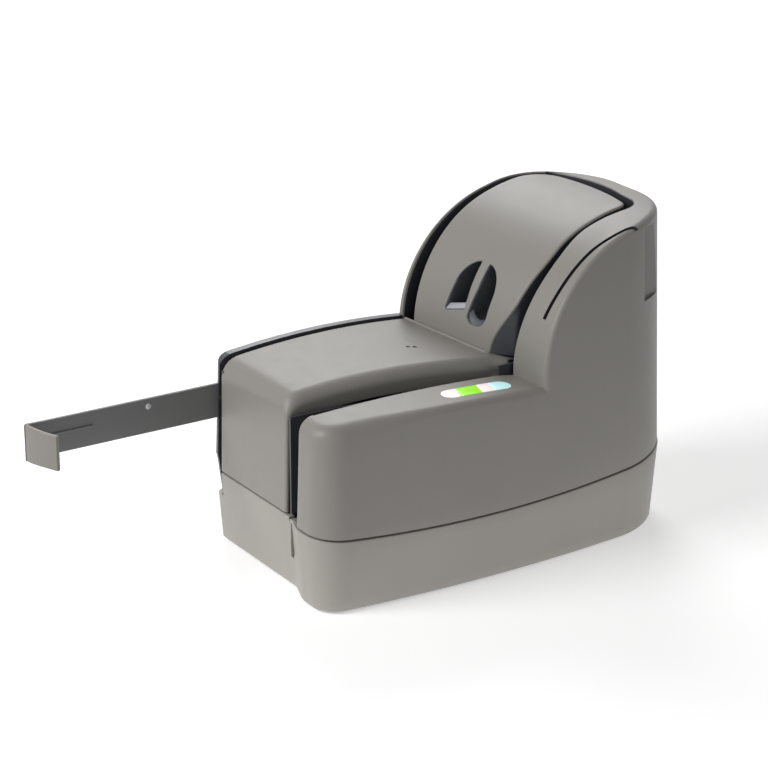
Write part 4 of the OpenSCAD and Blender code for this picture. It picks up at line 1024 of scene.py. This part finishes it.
# Finger pockets: two lobes with a rib between them, seen from the left as y and z
NEAR_LOBE, FAR_LOBE = (0.8, 144.3), (4.2, 145.0)


def pocket_lobes():
    near = arc(*NEAR_LOBE, 14.9, 95, 180, 20)
    near += arc(-7.4, 134.0, 6.6, 180, 262, 12) + arc(-2.6, 131.0, 3.6, 270, 360, 10) + [(-0.9, 146.0)]
    far = arc(*FAR_LOBE, 14.6, -2, 79.5, 20) + [(5.0, 134.0), (20.2, 130.0), (20.7, 130.6)]
    return near, far


def front_x(y, z):
    """Place along X of the tower's round front at y and z."""
    q = -ARC_R * math.cos(math.asin(min(max((z - ARC_Z) / ARC_R, -1), 1)))
    return plan(q, (y - AXIS[1] - q * SIN_T) / COS_T)[0]


def pocket_tool(lobe):
    """Form that cuts one lobe through the skin and rounds its edge."""
    points = evenly(lobe, 0.7)
    rings = []
    for depth, grow in ((-4.0, 0.9), (-0.02, 0.85), (0.12, 0.45), (0.4, 0.15), (0.9, 0.0), (15.0, 0.0)):
        ring = []
        for k, (y, z) in enumerate(points):
            dy, dz = beside(points, k, 2, closed=True)
            grown = y - dy * grow, z - dz * grow
            ring.append((front_x(*grown) + depth, *grown))
        rings.append(ring)
    return skin(rings, caps=True)


def pocket_sill(line, depth, rise, material, name):
    """Sloping lip along the bottom of a lobe, from its edge inwards and upwards."""
    rings = []
    for y, z in line:
        x = front_x(y, z) + 0.5
        slope = [(x + depth * t, y, z - 0.1 + rise * math.sin(math.radians(78 * t)))
                 for t in (k / 5 for k in range(6))]
        rings.append([(x, y, z - 1.2), *slope, (x + depth, y, z - 1.2)])
    piece = make_object(name, *skin(rings, caps=True), "cover", [material])


def pocket_sills():
    far_line = [(21.0 - 16.2 * k / 12, 129.9 + 4.2 * k / 12) for k in range(13)]
    # The far sill is painted lighter as a painted reflection of the light from above; the near sill keeps the
    # liner's own dark colour.
    pocket_sill(far_line, 3.2, 3.0, sill_painted_reflection, "far_pocket_sill")
    near_line = arc(-6.3, 134.6, 7.3, 200, 338, 20)
    pocket_sill(near_line, 3.4, 2.6, liner_plastic, "near_pocket_sill")


# Status light on the fender
LIGHT_X, LIGHT_Y, LIGHT_TURN, LIGHT_R, LIGHT_LEAN = -15.2, -55.7, math.radians(-0.5), 6.0, 1.6
WHITE_LEFT, GREEN_LEFT, WHITE_RIGHT, CYAN_LEFT, LIGHT_END = -38.6, -28.0, -14.0, -6.0, 6.2
LIGHT_GAP, LIGHT_PROUD, LIGHT_LOW = 0.1, 0.35, fender_top(-16.0) - 1.5


def light_outline(x0, x1):
    """Outline of one part of the status light. The inner ends lean and the two outer ends are round."""
    left, right = x0 - LIGHT_X, x1 - LIGHT_X
    r = LIGHT_R
    if x0 == WHITE_LEFT:
        rows = arc(left + r, 0, r, 90, 270, 24)
    else:
        rows = [(left + LIGHT_LEAN, r), (left - LIGHT_LEAN, -r)]
    if x1 == LIGHT_END:
        rows += arc(right - r, 0, r, 270, 450, 24)
    else:
        rows += [(right - LIGHT_LEAN, -r), (right + LIGHT_LEAN, r)]
    c, s = math.cos(LIGHT_TURN), math.sin(LIGHT_TURN)
    return [(LIGHT_X + u * c - v * s, LIGHT_Y + u * s + v * c) for u, v in evenly(rows, 1.0)]


def light_piece(name, parts, materials):
    """Piece made of the parts of one window, each given by its two ends and its material's number."""
    verts, faces, marks = joined(
        (*pillow(light_outline(x0, x1), LIGHT_LOW, lambda x, y: fender_top(x) + LIGHT_PROUD, 0.3), mark)
        for x0, x1, mark in parts)
    return make_object(name, verts, faces, "casing", materials, marks=marks)


def status_light():
    pale = light_piece("status_light_pale", [(WHITE_LEFT, GREEN_LEFT - LIGHT_GAP, 0),
                                             (WHITE_RIGHT + LIGHT_GAP, CYAN_LEFT - LIGHT_GAP, 0),
                                             (CYAN_LEFT + LIGHT_GAP, LIGHT_END, 1)],
                       [light_white, light_cyan])
    green = light_piece("status_light_green", [(GREEN_LEFT + LIGHT_GAP, WHITE_RIGHT - LIGHT_GAP, 0)],
                        [light_green])
    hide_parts("status_window")
    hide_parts("status_window_green")


# Exit arm
ARM_Y, ARM_T, ARM_Z, ARM_H, ARM_END, ARM_TIP = 58.95, 2.4, 77.0, 20.6, -94.0, -238.0
HOOK_FROM, BEND_R, HOOK_REACH, HOOK_LEAN, ARM_SOFT, RIB_R = 5, 2.2, 26.0, 7.6, 0.7, 0.62
RIVET_X, RIVET_Z = -161.0, 93.0


def arm_line():
    """Middle line of the strip in plan. The hook is from point HOOK_FROM on."""
    middle = ARM_Y + ARM_T / 2
    corner = ARM_TIP + ARM_T / 2 + BEND_R
    line = [(x, middle) for x in (ARM_END, -160.0, -225.0, corner)]
    line += [(corner - BEND_R * math.sin(a), middle - BEND_R * (1 - math.cos(a))) for a in quarter(6, 1)]
    return line + [(corner - BEND_R + HOOK_LEAN * t ** 1.6, ARM_Y + ARM_T - HOOK_REACH * t)
                   for t in (k / 20 for k in range(2, 21))]


def exit_arm():
    """Strip with a hooked end, and the rib along its near side."""
    half_t, half_h = ARM_T / 2, ARM_H / 2
    section = []
    for su, sv, a0 in ((1, 1, 0), (-1, 1, 90), (-1, -1, 180), (1, -1, 270)):
        section += arc(su * (half_t - ARM_SOFT), sv * (half_h - ARM_SOFT), ARM_SOFT, a0, a0 + 90, 4)
    line = arm_line()
    rings = []
    for k, (x, y) in enumerate(line):
        nx, ny = beside(line, k)
        tall = 1.0 + 0.04 * ease((ARM_TIP + 6 - x) / 5)
        rings.append([(x + nx * u, y + ny * u, ARM_Z + half_h + v * tall) for u, v in section])
    verts, faces = skin(rings, caps=True)
    # Strip faces take the darker arm finish, which is partly painted shade; the hook from point HOOK_FROM on
    # takes casing grey.
    marks = [1 if k // len(section) >= HOOK_FROM else 0 for k in range(len(faces))]
    marks[-2:] = [0, 1]
    rib = [[(x, y, z) for y, z in ring_of(ARM_Y - 0.55, ARM_Z + 11.9, RIB_R, 10)]
           for x in (-235.6, -230.0, -210.0, -196.0)]
    rib_verts, rib_faces = skin(rib, caps=True)
    faces += [tuple(i + len(verts) for i in face) for face in rib_faces]
    marks += [0] * len(rib_faces)
    piece = make_object("exit_arm_strip", verts + rib_verts, faces, "arm", [arm_plastic_and_painted_shade, casing_plastic],
                        marks=marks)
    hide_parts("exit_arm")


def arm_rivet():
    rings = []
    for r, y in ((1.8, ARM_Y + ARM_T + 0.1), (1.8, ARM_Y), (1.78, ARM_Y - 0.06), (1.6, ARM_Y - 0.11),
                 (0.9, ARM_Y - 0.14), (0.25, ARM_Y - 0.15)):
        rings.append([(x, y, z) for x, z in ring_of(RIVET_X, RIVET_Z, r, 24)])
    head = make_object("exit_arm_rivet", *skin(rings, caps=True), "arm", [sheet_steel])
    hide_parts("arm_rivet")


# Every piece in turn
outer_shell()
base_housing()
funnel_floor()
deck_block()
tower_cover()
pocket_sills()
status_light()
exit_arm()
arm_rivet()

# CAD nodes that stay: each gets its finish, and moulded ones a soft edge
SOFT_EDGES = {"inner_guide": 0.35, "outer_guide": 0.35, "exit_guide": 0.5, "finger_pockets": 0.5,
              "rubber_feet": 0.5, "cartridge_cradle": 0.4, "ink_cartridge": 0.5}
slots = {part["node"]: part["material_slot"] for part in frame["record"]["subparts"]}
for name, obj in frame["nodes"].items():
    if obj.hide_render:
        continue
    obj.data.materials.clear()
    obj.data.materials.append(liner_plastic if name == "finger_pockets" else SLOT_FINISH[slots[name]])
    if name in SOFT_EDGES:
        soft = obj.modifiers.new("soft_edge", "BEVEL")
        soft.width = SOFT_EDGES[name] * MM
        soft.segments = 2
        soft.limit_method = "ANGLE"
        soft.angle_limit = math.radians(40)

# Floor, lights and surroundings
floor_mesh = bpy.data.meshes.new("floor")
floor_mesh.from_pydata([(-4, -4, 0), (4, -4, 0), (4, 4, 0), (-4, 4, 0)], [], [(0, 1, 2, 3)])
floor = add_object("floor", floor_mesh)
floor.location.z = -0.0002


def background_light(tree, strength):
    """Share of rays that should see the plain white background."""
    path = tree.nodes.new("ShaderNodeLightPath")
    seen = math_node(tree, "MAXIMUM", path.outputs["Is Camera Ray"], path.outputs["Is Glossy Ray"])
    seen = math_node(tree, "MAXIMUM", seen, path.outputs["Is Transmission Ray"])
    return math_node(tree, "MULTIPLY", seen, strength)


floor_paint = bpy.data.materials.new("floor_paint")
floor_paint.use_nodes = True
shader = floor_paint.node_tree.nodes["Principled BSDF"]
set_inputs(shader, {"Base Color": (0.82, 0.82, 0.82, 1), "Roughness": 0.9, "Specular IOR Level": 0.0,
                    "Emission Color": (1, 1, 1, 1)})
floor_tree = floor_paint.node_tree


def floor_glow(tree, strength, near, reach):
    """Light thrown back by the floor close to the object. It fades with distance."""
    place = tree.nodes.new("ShaderNodeNewGeometry").outputs["Position"]
    length = tree.nodes.new("ShaderNodeVectorMath")
    length.operation = "LENGTH"
    tree.links.new(place, length.inputs[0])
    fade = tree.nodes.new("ShaderNodeMapRange")
    fade.interpolation_type = "SMOOTHSTEP"
    tree.links.new(length.outputs["Value"], fade.inputs["Value"])
    set_inputs(fade, {"From Min": near, "From Max": reach, "To Min": strength, "To Max": 0.0})
    hidden = math_node(tree, "SUBTRACT", 1.0, background_light(tree, 1.0))
    return math_node(tree, "MULTIPLY", hidden, fade.outputs["Result"])


glow = math_node(floor_tree, "ADD", background_light(floor_tree, 0.42),
                 floor_glow(floor_tree, 0.8, 0.12, 0.42))
floor_tree.links.new(glow, shader.inputs["Emission Strength"])
floor_mesh.materials.append(floor_paint)

world = bpy.data.worlds.new("room")
scene.world = world
world.use_nodes = True
sky_tree = world.node_tree
sky = sky_tree.nodes["Background"]
sky.inputs["Color"].default_value = (1, 1, 1, 1)
sky_level = math_node(sky_tree, "MAXIMUM", background_light(sky_tree, 1.0), 0.24)
sky_tree.links.new(sky_level, sky.inputs["Strength"])

LIT_PLACE = Vector((-0.02, 0.0, 0.08))


def lamp(name, place, size, power):
    data = bpy.data.lights.new(name, "AREA")
    data.shape = "DISK"
    data.size = size
    data.energy = power
    obj = add_object(name, data)
    obj.location = place
    look_along(obj, LIT_PLACE - Vector(place))


lamp("key", (-1.5, 0.25, 1.16), 1.0, 23.5)
lamp("fill", (-0.2, -1.8, 0.6), 1.4, 2.4)
lamp("rim", (0.7, 1.4, 1.3), 1.0, 14.0)
